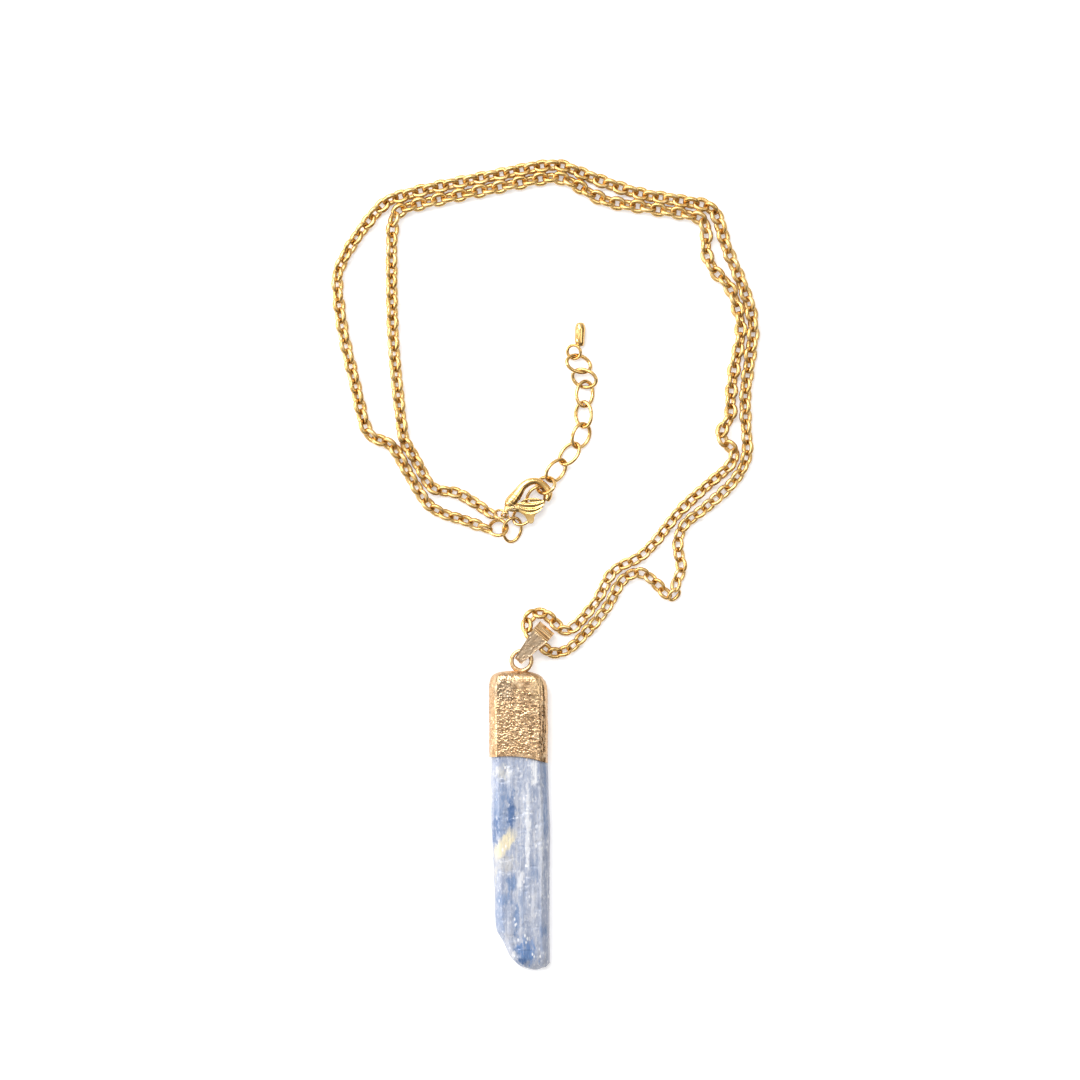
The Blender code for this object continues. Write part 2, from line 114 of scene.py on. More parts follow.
def cells(p, seed=0):
    """Distance to the nearest and second nearest scattered point."""
    p = np.asarray(p, float)
    base = np.floor(p).astype(np.int64)
    d1 = np.full(len(p), 9.0)
    d2 = np.full(len(p), 9.0)
    for dx in (-1, 0, 1):
        for dy in (-1, 0, 1):
            for dz in (-1, 0, 1):
                c = base + np.array([dx, dy, dz])
                q = np.stack(
                    [c[:, a] + hashed(c[:, 0], c[:, 1], c[:, 2], seed + 31 * a) for a in range(3)], 1
                )
                d = np.linalg.norm(p - q, axis=1)
                d2 = np.minimum(d2, np.maximum(d, d1))
                d1 = np.minimum(d1, d)
    return d1, d2


def smoothstep(a, b, x):
    t = np.clip((np.asarray(x, float) - a) / (b - a), 0, 1)
    return t * t * (3 - 2 * t)


# ------------------------------------------------------------------ mesh code
def mesh_object(name, verts, faces, smooth_deg=None):
    me = bpy.data.meshes.new(name)
    me.from_pydata([tuple(v) for v in verts], [], [tuple(f) for f in faces])
    me.validate()
    bm = bmesh.new()
    bm.from_mesh(me)
    bmesh.ops.recalc_face_normals(bm, faces=bm.faces)
    bm.to_mesh(me)
    bm.free()
    me.shade_smooth()
    if smooth_deg is not None:
        me.set_sharp_from_angle(angle=math.radians(smooth_deg))
    ob = bpy.data.objects.new(name, me)
    bpy.context.scene.collection.objects.link(ob)
    return ob


def grid_faces(rows, n, wrap=True, base=0, flip=False):
    f = []
    for r in range(rows - 1):
        for i in range(n if wrap else n - 1):
            j = (i + 1) % n
            q = (base + r * n + i, base + r * n + j, base + (r + 1) * n + j, base + (r + 1) * n + i)
            f.append(q[::-1] if flip else q)
    return f


def catmull(points, per_span):
    p = [np.array(q, float) for q in points]
    p = [2 * p[0] - p[1]] + p + [2 * p[-1] - p[-2]]
    out = []
    for k in range(1, len(p) - 2):
        p0, p1, p2, p3 = p[k - 1], p[k], p[k + 1], p[k + 2]
        for s in range(per_span):
            t = s / per_span
            out.append(
                0.5
                * (
                    2 * p1
                    + (p2 - p0) * t
                    + (2 * p0 - 5 * p1 + 4 * p2 - p3) * t * t
                    + (3 * p1 - p0 - 3 * p2 + p3) * t**3
                )
            )
    out.append(p[-2])
    return np.array(out)


def tube_rows(mid, radii, sides, closed, twist_ref=None, flat=None):
    """Rings of points round a line. flat squashes the section along its second axis."""
    mid = np.asarray(mid)
    n = len(mid)
    if closed:
        t = np.roll(mid, -1, 0) - np.roll(mid, 1, 0)
    else:
        t = np.gradient(mid, axis=0)
    t /= np.linalg.norm(t, axis=1)[:, None]
    ref = np.array(twist_ref if twist_ref is not None else (0, 0, 1.0))
    side = np.cross(ref, t)
    side /= np.linalg.norm(side, axis=1)[:, None]
    up = np.cross(t, side)
    ang = np.linspace(0, 2 * np.pi, sides, endpoint=False)
    r = np.broadcast_to(np.asarray(radii, float), (n,))
    fl = 1.0 if flat is None else flat
    return (
        mid[:, None]
        + side[:, None] * (r[:, None, None] * np.cos(ang)[None, :, None])
        + up[:, None] * (r[:, None, None] * fl * np.sin(ang)[None, :, None])
    )


# ------------------------------------------------------------------ the chain
FIRST_RUN = [
    (490.0, 513.2, 1.7), (478.0, 505.0, 1.2), (458.0, 493.5), (440.0, 490.3),
    (429.5, 485.5), (417.5, 467.0), (405.0, 446.0), (402.0, 428.0),
    (396.8, 382.0), (393.0, 335.0), (391.6, 275.0), (392.5, 228.0),
    (398.0, 212.0), (413.0, 205.0), (447.0, 196.2), (503.0, 185.6),
    (545.0, 177.3), (565.0, 178.5), (595.0, 195.8), (616.0, 203.0),
    (654.0, 208.0), (690.0, 215.0), (703.0, 221.0), (706.5, 236.0),
    (706.5, 253.0), (715.0, 271.0), (729.0, 286.0), (739.0, 310.0),
    (741.0, 334.0), (734.0, 370.0), (730.8, 400.0), (730.5, 416.0),
    (722.0, 431.0), (724.0, 441.5), (734.0, 450.5), (731.5, 464.0),
    (710.0, 483.0), (680.0, 511.0), (656.0, 541.0), (639.0, 557.5),
    (613.0, 572.0), (600.5, 595.0), (583.5, 618.0), (568.5, 630.0),
    (559.5, 627.5), (545.5, 614.3), (532.3, 614.8, 1.15), (526.8, 623.5, 1.5),
]  # fmt: skip
SECOND_RUN = [
    (530.0, 634.0, 1.9), (537.0, 641.3, 1.98), (545.0, 648.5, 1.88),
    (556.0, 653.0, 1.35), (571.0, 647.5), (587.0, 631.5), (607.5, 606.5),
    (616.0, 589.5), (627.5, 576.0), (641.0, 573.0), (655.0, 582.0),
    (666.0, 594.0), (674.0, 595.0), (676.5, 582.0), (681.5, 568.0),
    (678.0, 545.0), (684.5, 525.0), (707.0, 506.5), (735.0, 480.0),
    (747.0, 453.0), (746.5, 430.0), (745.5, 395.0), (750.5, 355.0),
    (753.0, 325.0), (742.0, 284.0), (727.0, 248.0), (717.5, 217.0),
    (706.0, 205.5), (676.0, 200.3), (645.0, 195.0), (606.5, 182.8),
    (567.0, 168.0), (546.0, 166.3), (506.5, 173.2), (446.0, 186.2),
    (402.5, 196.0), (383.0, 204.5), (358.0, 235.0), (341.0, 264.0),
    (337.3, 285.0), (343.0, 332.0), (355.0, 384.0), (364.5, 424.0),
    (372.5, 437.0), (388.0, 443.0), (400.5, 454.0), (412.0, 477.0),
    (426.5, 502.5), (443.5, 513.8), (465.0, 520.5), (485.2, 528.2, 1.25),
]  # fmt: skip


def chain_path():
    """The route in grid steps and millimetres, as in the CAD."""
    pts = [(p[0], p[1], p[2] if len(p) > 2 else REST) for p in FIRST_RUN + SECOND_RUN]
    c = catmull(pts, 24)
    d = np.concatenate([[0], np.cumsum(np.linalg.norm(np.diff(c[:, :2], axis=0), axis=1))])
    n = int(d[-1] / 2.5)
    s = np.linspace(0, d[-1], n)
    c = np.stack([np.interp(s, d, c[:, k]) for k in range(3)], 1)
    far = np.abs(s[:, None] - s[None, :]) > 34.0
    kernel = np.hanning(13)
    kernel /= kernel.sum()
    for _ in range(40):
        diff = c[:, None, :2] - c[None, :, :2]
        dist = np.linalg.norm(diff, axis=2) + 1e-9
        lack = np.where(far, np.clip(CHAIN_GAP - dist, 0, None), 0.0)
        if lack.max() < 0.05:
            break
        near = np.argmax(lack, axis=1)
        k = np.arange(n)
        push = diff[k, near] / dist[k, near][:, None] * (lack[k, near] * 0.6)[:, None]
        for a in range(2):
            c[:, a] += np.convolve(np.pad(push[:, a], 6, mode="edge"), kernel, "valid")
    return c


# a link's half axes to the wire's middle, and the wire's radius at the
# link's sides and at its ends, in steps
CA, CB, CR, CR_END = 6.7, 4.85, 2.2, 1.55
CHAIN_PITCH = 10.35
route = chain_path()
route_m = np.array([plan(*q)[:] for q in route])


def make_chain():
    seg = np.linalg.norm(np.diff(route_m, axis=0), axis=1)
    s = np.concatenate([[0], np.cumsum(seg)])
    length = s[-1]
    count = int(round(length / (CHAIN_PITCH * STEP))) + 1
    pitch = length / (count - 1)

    def at(d):
        return np.array([np.interp(d, s, route_m[:, a]) for a in range(3)])

    rng = np.random.default_rng(4)
    nseg, sides = 36, 10
    th = np.linspace(0, 2 * np.pi, nseg, endpoint=False)
    verts, faces = [], []
    for k in range(count):
        mid = at(k * pitch)
        lo, hi = at(max(0, (k - 0.55) * pitch)), at(min(length, (k + 0.55) * pitch))
        t = hi - lo
        t /= np.linalg.norm(t)
        side = np.cross((0, 0, 1.0), t)
        side /= np.linalg.norm(side)
        up = np.cross(t, side)
        gx, gy = mid[0] / STEP + CENTRE[0], CENTRE[1] - mid[1] / STEP
        # how flat the flatter links lie: nearly flat along the top, more
        # upright down the left, and evenly turned on the lower right
        top = smoothstep(250, 215, gy)
        left = smoothstep(430, 400, gx) * (1 - top)
        alpha = 38 - 24 * top + 8 * left
        if gx > 690 and 215 < gy < 430:
            alpha = 27
        phi = alpha if k % 2 == 0 else alpha - 79 + 15 * top - 6 * left
        phi += rng.normal(0, 3.0)
        if k == 0:
            phi = 50
        if k == count - 1:
            phi = 60
        ph = math.radians(phi)
        w = side * math.cos(ph) + up * math.sin(ph)
        nrm = np.cross(t, w)
        yaw = rng.normal(0, 0.03)
        t2 = t * math.cos(yaw) + w * math.sin(yaw)
        w2 = w * math.cos(yaw) - t * math.sin(yaw)
        # the wire looks thicker along the top and left, finer on the lower right
        heavy = max(top, left, 0.7 if gx > 690 and gy < 430 else 0.0)
        fine = smoothstep(470, 540, gy) * smoothstep(540, 580, gx)
        wire_side = CR + 0.30 * heavy - 0.30 * fine
        wire_end = CR_END + 0.20 * heavy - 0.12 * fine
        a = (CA - CR_END + wire_end) * STEP * (1 + rng.normal(0, 0.006))
        b = (CB + 0.10 * heavy + 0.15 * fine) * STEP * (1 + rng.normal(0, 0.02))
        # a stadium-like oval
        cx = np.sign(np.cos(th)) * np.abs(np.cos(th)) ** 0.93
        cy = np.sign(np.sin(th)) * np.abs(np.sin(th)) ** 0.9
        line = mid + np.outer(a * cx, t2) + np.outer(b * cy, w2)
        shift = rng.normal(0, 0.00001)
        line = line + up * (shift + 0.00002)
        wire = wire_end + (wire_side - wire_end) * np.abs(np.sin(th)) ** 1.2
        rows = tube_rows(line, wire * STEP, sides, True, nrm, 1.0)
        rows[..., 2] += max(0.0, -rows[..., 2].min())
        base = len(verts)
        verts.extend(rows.reshape(-1, 3).tolist())
        for i in range(nseg):
            j = (i + 1) % nseg
            for m in range(sides):
                n2 = (m + 1) % sides
                faces.append(
                    (base + i * sides + m, base + i * sides + n2, base + j * sides + n2, base + j * sides + m)
                )
    ob = mesh_object("chain_links", verts, faces)
    return ob, length, count


chain_links, chain_length, chain_count = make_chain()
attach(chain_links, ROOT)
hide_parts("chain")
print("chain", chain_length, "links", chain_count)


# ------------------------------------------------------------------ materials
class Nodes:
    """Short calls for building a node tree."""

    def __init__(self, name):
        self.mat = bpy.data.materials.new(name)
        self.mat.use_nodes = True
        self.t = self.mat.node_tree
        self.p = self.t.nodes["Principled BSDF"]
        self.coord = self.t.nodes.new("ShaderNodeTexCoord").outputs["Object"]

    def link(self, a, b):
        self.t.links.new(a, b)

    def scaled(self, sx, sy, sz, src=None, rot=0.0):
        m = self.t.nodes.new("ShaderNodeMapping")
        m.inputs["Scale"].default_value = (sx, sy, sz)
        m.inputs["Rotation"].default_value = (0, 0, rot)
        self.link(src or self.coord, m.inputs["Vector"])
        return m.outputs["Vector"]

    def noise(self, vec, scale=1.0, detail=3.0, rough=0.5, distort=0.0):
        n = self.t.nodes.new("ShaderNodeTexNoise")
        n.inputs["Scale"].default_value = scale
        n.inputs["Detail"].default_value = detail
        n.inputs["Roughness"].default_value = rough
        n.inputs["Distortion"].default_value = distort
        self.link(vec, n.inputs["Vector"])
        return n.outputs["Fac"]

    def voronoi(self, vec, scale=1.0, feature="F1", out="Distance"):
        n = self.t.nodes.new("ShaderNodeTexVoronoi")
        n.feature = feature
        n.inputs["Scale"].default_value = scale
        self.link(vec, n.inputs["Vector"])
        return n.outputs[out]

    def ramp(self, fac, stops, mode="LINEAR"):
        n = self.t.nodes.new("ShaderNodeValToRGB")
        n.color_ramp.interpolation = mode
        e = n.color_ramp.elements
        while len(e) < len(stops):
            e.new(0.5)
        for k, (pos, col) in enumerate(stops):
            e[k].position = pos
            e[k].color = (*col, 1) if len(col) == 3 else col
        self.link(fac, n.inputs["Fac"])
        return n.outputs["Color"]

    def math(self, op, a, b=None, c=None, clamp=False):
        n = self.t.nodes.new("ShaderNodeMath")
        n.operation = op
        n.use_clamp = clamp
        for k, v in enumerate((a, b, c)):
            if v is None:
                continue
            if isinstance(v, (int, float)):
                n.inputs[k].default_value = v
            else:
                self.link(v, n.inputs[k])
        return n.outputs[0]

    def mix(self, fac, a, b, blend="MIX"):
        n = self.t.nodes.new("ShaderNodeMix")
        n.data_type = "RGBA"
        n.blend_type = blend
        for sock, v in (("Factor", fac), ("A", a), ("B", b)):
            s = [i for i in n.inputs if i.name == sock and i.type == ("VALUE" if sock == "Factor" else "RGBA")][0]
            if isinstance(v, (int, float)):
                s.default_value = v
            elif isinstance(v, tuple):
                s.default_value = (*v, 1) if len(v) == 3 else v
            else:
                self.link(v, s)
        return [o for o in n.outputs if o.type == "RGBA"][0]

    def span(self, v, lo, hi, a=0.0, b=1.0):
        n = self.t.nodes.new("ShaderNodeMapRange")
        n.interpolation_type = "SMOOTHSTEP"
        n.inputs["From Min"].default_value = lo
        n.inputs["From Max"].default_value = hi
        n.inputs["To Min"].default_value = a
        n.inputs["To Max"].default_value = b
        self.link(v, n.inputs["Value"])
        return n.outputs["Result"]

    def xyz(self, vec=None):
        n = self.t.nodes.new("ShaderNodeSeparateXYZ")
        self.link(vec or self.coord, n.inputs["Vector"])
        return n.outputs["X"], n.outputs["Y"], n.outputs["Z"]

    def steep(self, lo=0.1, hi=0.8):
        """1 on surfaces that face sideways or down, 0 on those that face up."""
        g = self.t.nodes.new("ShaderNodeNewGeometry")
        return self.span(self.xyz(g.outputs["Normal"])[2], hi, lo)

    def bump(self, height, strength, distance, after=None):
        n = self.t.nodes.new("ShaderNodeBump")
        n.inputs["Strength"].default_value = strength
        n.inputs["Distance"].default_value = distance
        self.link(height, n.inputs["Height"])
        if after is not None:
            self.link(after, n.inputs["Normal"])
        return n.outputs["Normal"]

    def set(self, **kw):
        for k, v in kw.items():
            s = self.p.inputs[k.replace("_", " ")]
            if isinstance(v, (int, float)):
                s.default_value = v
            elif isinstance(v, tuple):
                s.default_value = (*v, 1) if len(v) == 3 and len(s.default_value) == 4 else v
            else:
                self.link(v, s)
        return self.mat


def gold_material(name, deep, mid, pale, rough_lo, rough_hi, scratch=1.0, painted_shade=0.6):
    """Polished plate: slight colour drift, fine scratches, worn paler spots, and painted shade: dark brown on the sides
    that face sideways or down.
    """
    n = Nodes(name)
    soft = n.noise(n.scaled(420, 420, 420), 1.0, 3.0, 0.55)
    col = n.ramp(soft, [(0.3, deep), (0.52, mid), (0.75, pale)])
    shade_breakup = n.noise(n.scaled(1500, 1500, 1500), 1.0, 3.0, 0.6)
    # painted shade: the sides that face sideways or down are mixed towards dark brown, broken up by noise
    side = n.math("MULTIPLY", n.steep(), n.span(shade_breakup, 0.25, 0.6, 0.65, 1.0))
    col = n.mix(n.math("MULTIPLY", side, painted_shade), col, (0.24, 0.115, 0.03))
    fine = n.noise(n.scaled(5200, 5200, 5200), 1.0, 2.0, 0.6)
    long = n.noise(n.scaled(9000, 1500, 9000), 1.0, 2.0, 0.6)
    rough = n.span(n.math("ADD", n.math("MULTIPLY", soft, 0.5), n.math("MULTIPLY", fine, 0.5)), 0.3, 0.7, rough_lo, rough_hi)
    b = n.bump(fine, 0.12 * scratch, 0.00002)
    b = n.bump(long, 0.10 * scratch, 0.00002, b)
    return n.set(Base_Color=col, Roughness=rough, Metallic=1.0, Normal=b)


GOLD = gold_material("chain_gold", (0.76, 0.46, 0.15), (0.88, 0.58, 0.22), (0.96, 0.71, 0.36), 0.22, 0.38, 1.0, 0.66)
BRIGHT = gold_material("clasp_gold", (0.78, 0.47, 0.15), (0.89, 0.58, 0.22), (0.95, 0.70, 0.34), 0.14, 0.28, 0.8, 0.75)
ROSE_WIRE = gold_material("loop_gold", (0.68, 0.43, 0.20), (0.80, 0.54, 0.28), (0.90, 0.68, 0.42), 0.22, 0.38)

chain_links.data.materials.append(GOLD)


# ------------------------------------------------------------ rings and links
RINGS = [
    ("clasp_jump_ring", 500.1, 514.2, 1.96, 5.4, 5.4, 1.25, -39.5, 0.5, -1),
    ("chain_end_ring", 498.3, 527.9, 1.21, 8.9, 8.9, 1.45, -31, -2.5, 2.5),
    ("extension_link_01", 512.3, 529.6, 0.95, 12.3, 9.2, 1.45, -17, 12, -100.5),
    ("extension_link_02", 523.9, 514.3, 0.89, LINK_A, LINK_B, LINK_WIRE, -18.5, 7.5, 46.5),
    ("extension_link_03", 535.7, 499.0, 1.03, LINK_A, LINK_B, LINK_WIRE, 15, -16, 72.5),
    ("extension_link_04", 545.7, 485.2, 2.01, LINK_A, LINK_B, LINK_WIRE, -9.5, -49.5, -24.5),
    ("extension_link_05", 556.1, 470.6, 1.57, LINK_A, LINK_B, LINK_WIRE, 31.5, 8, 49.5),
    ("extension_link_06", 569.6, 453.8, 1.25, LINK_A, LINK_B, LINK_WIRE, -34.5, 1.5, 51),
    ("extension_link_07", 580.9, 435.6, 1.01, LINK_A, LINK_B, LINK_WIRE, 27, 1.5, 67.5),
    ("extension_link_08", 583.7, 414.4, 1.10, LINK_A, LINK_B, LINK_WIRE, -30, 1, 90.5),
    ("extension_link_09", 584.8, 393.7, 0.99, LINK_A, LINK_B, LINK_WIRE, 24, 7.5, 82),
    ("extension_link_10", 584.3, 378.3, 1.19, LINK_A, LINK_B, LINK_WIRE, 23, -12, -18),
    ("extension_link_11", 578.8, 363.8, 1.15, LINK_A, LINK_B, LINK_WIRE, -22, 17, -13.5),
]


def make_ring(name, x, y, z, a, b, wire, roll, pitch, heading, seed, gap_at=0.6):
    """A bent wire ring, open by a hair where its ends meet."""
    rng = np.random.default_rng(seed)
    nseg, sides = 84, 16
    slit = 0.012 if a > 6 else 0.02
    th = np.linspace(gap_at + slit, gap_at + 2 * np.pi - slit, nseg)
    wob = 1 + 0.012 * np.sin(2 * th + rng.uniform(0, 6)) + 0.014 * np.sin(3 * th + rng.uniform(0, 6))
    lift = 0.05 * np.sin(2 * th + rng.uniform(0, 6)) * wire
    pts = np.stack([a * STEP * np.cos(th) * wob, b * STEP * np.sin(th) * wob, lift * STEP], 1)
    # the rings around the clasp's lever keep their wire clear of it
    beside = ("clasp_jump_ring", "extension_link_01", "extension_link_02", "extension_link_03")
    wire = wire * (1.1 if name in beside else 1.28)
    rows = tube_rows(pts, wire * STEP, sides, False, (0, 0, 1.0))
    # rounded ends
    first, last = rows[0], rows[-1]
    caps = []
    for ring, centre, out in ((first, pts[0], pts[0] - pts[1]), (last, pts[-1], pts[-1] - pts[-2])):
        out = out / np.linalg.norm(out)
        caps.append(centre + (ring - centre) * 0.86 + out * wire * STEP * 0.06)
    allrows = np.concatenate([caps[0][None], rows, caps[1][None]])
    R = np.array(Euler([math.radians(v) for v in (roll, pitch, heading)]).to_matrix())
    v = allrows.reshape(-1, 3) @ R.T + np.array(plan(x, y, z))
    v[:, 2] += max(0.0, -v[:, 2].min())
    n = sides
    faces = grid_faces(len(allrows), n)
    faces.append(tuple(range(n))[::-1])
    faces.append(tuple(range((len(allrows) - 1) * n, len(allrows) * n)))
    ob = mesh_object(name + "_wire", v, faces, 45)
    ob.data.materials.append(BRIGHT)
    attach(ob, ROOT)
    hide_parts(name)
    return ob


for k, row in enumerate(RINGS):
    make_ring(*row, seed=20 + k, gap_at=0.6 + 1.3 * k)


# ------------------------------------------------------------------ the stone
# One section: (share of the width or steps from an edge, share of the height)
def template(xl, xr, zb, zt):
    w = xr - xl
    s = min(1.0, w / 57.0)
    rows = [
        (xl + 5.0 * s, 0.0), (xl + 0.8 * s, 0.22), (xl, 0.42), (xl + 1.6 * s, 0.68),
        (xl + 7.5 * s, 0.965), (xl + 0.38 * w, 1.0), (xl + 0.62 * w, 0.99),
        (xr - 8.5 * s, 0.965), (xr - 2.2 * s, 0.76), (xr, 0.5), (xr - 0.6 * s, 0.24),
        (xr - 5.0 * s, 0.0),
    ]  # fmt: skip
    return np.array([(x, zb + f * (zt - zb)) for x, f in rows])


def section_params(n):
    """Where n points lie round the section: which side, and how far along it."""
    t = template(491.0, 548.0, 0.0, 4.0) * np.array([STEP / MM, 1.0])
    nxt = np.roll(t, -1, 0)
    d = np.linalg.norm(nxt - t, axis=1)
    run = np.concatenate([[0], np.cumsum(d)])
    at = np.linspace(0, run[-1], n, endpoint=False)
    k = np.clip(np.searchsorted(run, at, "right") - 1, 0, len(t) - 1)
    return k, (at - run[k]) / d[k]


def dense_section(xl, xr, zb, zt, k, f, soft=5):
    t = template(xl, xr, zb, zt)
    p = t[k] * (1 - f)[:, None] + np.roll(t, -1, 0)[k] * f[:, None]
    if soft > 1:
        w = np.hanning(soft + 2)[1:-1]
        w /= w.sum()
        h = soft // 2
        q = np.concatenate([p[-h:], p, p[:h]])
        p = np.stack([np.convolve(q[:, a], w, "valid") for a in range(2)], 1)
    return p


def section_normals(p):
    """Outward normals in millimetres of a ring of (x step, z mm) points."""
    q = p * np.array([STEP / MM, 1.0])
    t = np.roll(q, -1, 0) - np.roll(q, 1, 0)
    nrm = np.stack([-t[:, 1], t[:, 0]], 1)
    nrm /= np.linalg.norm(nrm, axis=1)[:, None] + 1e-9
    if np.sum(nrm * (q - q.mean(0))) < 0:
        nrm = -nrm
    return nrm


BLADE_ROWS = [
    (684.0, 495.5, 541.0, 0.80, 3.3, 0.0), (690.0, 491.7, 544.7, 0.50, 3.88, 0.0),
    (720.0, 491.5, 545.2, 0.50, 3.9, 0.0), (752.0, 491.6, 545.6, 0.50, 3.9, 0.0),
    (758.0, 490.9, 547.6, 0.0, 3.95, 0.0), (776.0, 490.7, 548.4, 0.0, 4.0, 0.0),
    (794.0, 490.8, 548.9, 0.0, 4.0, 0.0), (826.0, 490.9, 550.6, 0.0, 4.0, 0.0),
    (840.0, 491.6, 550.4, 0.0, 4.0, 0.0), (851.0, 492.3, 550.3, 0.0, 3.98, 0.0),
    (875.0, 493.4, 549.8, 0.0, 3.95, 0.0), (900.0, 494.6, 549.7, 0.0, 3.98, 0.0),
    (915.0, 494.8, 549.7, 0.0, 4.0, 0.0), (925.0, 495.4, 549.8, 0.0, 3.98, 0.0),
    (931.0, 496.4, 549.8, 0.0, 3.95, 0.0), (935.0, 498.8, 549.9, 0.0, 3.93, 0.0),
    (940.5, 502.6, 550.0, 0.0, 3.86, 0.0), (951.0, 507.2, 550.0, 0.0, 3.66, 0.0),
    (957.0, 510.4, 550.1, 0.0, 3.4, 0.0), (963.0, 516.2, 550.0, 0.15, 2.85, 0.0),
    (967.0, 523.0, 546.2, 0.45, 2.2, 0.0), (969.6, 531.0, 538.0, 0.85, 1.6, 0.0),
]  # fmt: skip


def make_blade():
    n = 216
    k, f = section_params(n)
    st = np.array(BLADE_ROWS)
    ys = np.concatenate([[684.0, 687.0, 690.0, 720.0, 745.0], np.arange(750.0, 963.0, 0.62), np.arange(963.0, 969.3, 0.4), [969.6]])
    rows = []
    for y in ys:
        xl, xr, zb, zt = (np.interp(y, st[:, 0], st[:, a]) for a in (1, 2, 3, 4))
        p = dense_section(xl, xr, zb, zt, k, f, 7)
        rows.append(np.column_stack([p[:, 0], np.full(n, y), p[:, 1]]))
    V = np.array(rows)  # rows, n, (x step, y step, z mm)
    X, Y, Z = V[..., 0].ravel(), V[..., 1].ravel(), V[..., 2].ravel()
    N = np.array([section_normals(r[:, [0, 2]]) for r in rows])
    # lengthwise ridges and steps where the crystal cleaves, a few pits and chips
    ridge = fbm(np.stack([X / 1.9, Y / 75.0, Z * 2.6], 1), 3, 3)
    fine = fbm(np.stack([X / 0.8, Y / 26.0, Z * 6.0], 1), 2, 9)
    broad = fbm(np.stack([X / 9.0, Y / 120.0, Z * 0.5 + 4], 1), 2, 21)
    lump = fbm(np.stack([X / 7.0, Y / 17.0, Z * 0.9], 1), 3, 31)
    terrace = np.floor(broad * 5.0 + 0.35 * ridge) / 5.0
    edge = smoothstep(0.0, 6.0, X - np.interp(Y, st[:, 0], st[:, 1])) * smoothstep(0.0, 6.0, np.interp(Y, st[:, 0], st[:, 2]) - X)
    pit = smoothstep(0.25, 0.6, fbm(np.stack([X / 2.6, Y / 5.5, Z * 2.0], 1), 3, 41))
    d = 0.055 * ridge + 0.018 * fine + 0.12 * terrace * edge + 0.07 * lump - 0.06 * pit - 0.02
    # cross breaks: short ledges that cut the ridges
    brk = fbm(np.stack([X / 12.0 + 3, Y / 6.0, Z * 0.5], 1), 2, 51)
    d = d - 0.05 * smoothstep(0.3, 0.42, brk) * edge
    inside = smoothstep(752.0, 760.0, Y)
    low = smoothstep(0.02, 0.35, Z)
    d = d * (0.3 + 0.7 * inside) * low
    d = d.reshape(V.shape[:2])
    V[..., 0] += N[..., 0] * d * MM / STEP
    V[..., 2] = np.maximum(V[..., 2] + N[..., 1] * d, 0.0)
    # the ends' own unevenness
    endw = smoothstep(930.0, 965.0, V[..., 1])
    V[..., 1] += endw * 1.1 * fbm(np.stack([V[..., 0].ravel() / 5.0, V[..., 2].ravel() * 1.2, 0 * X + 3], 1), 3, 61).reshape(V.shape[:2])
    pts = np.stack([(V[..., 0] - CENTRE[0]) * STEP, (CENTRE[1] - V[..., 1]) * STEP, V[..., 2] * MM], -1)
    verts = pts.reshape(-1, 3).tolist()
    R = len(ys)
    faces = grid_faces(R, n)
    for row in (0, R - 1):
        c = pts[row].mean(0)
        if row:
            c = c + np.array([0, -0.00006, 0])
        verts.append(c.tolist())
        ci = len(verts) - 1
        for i in range(n):
            faces.append((row * n + i, row * n + (i + 1) % n, ci))
    ob = mesh_object("kyanite_crystal", verts, faces)
    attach(ob, PENDANT)
    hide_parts("kyanite_blade")
    return ob


def lip_y(x):
    """The cap's lower edge, a shallow curve that dips to the right."""
    x = np.asarray(x, float)
    return 755.4 + 0.0046 * (x - 508.0) ** 2 * np.where(x > 508, 1.0, 0.9)


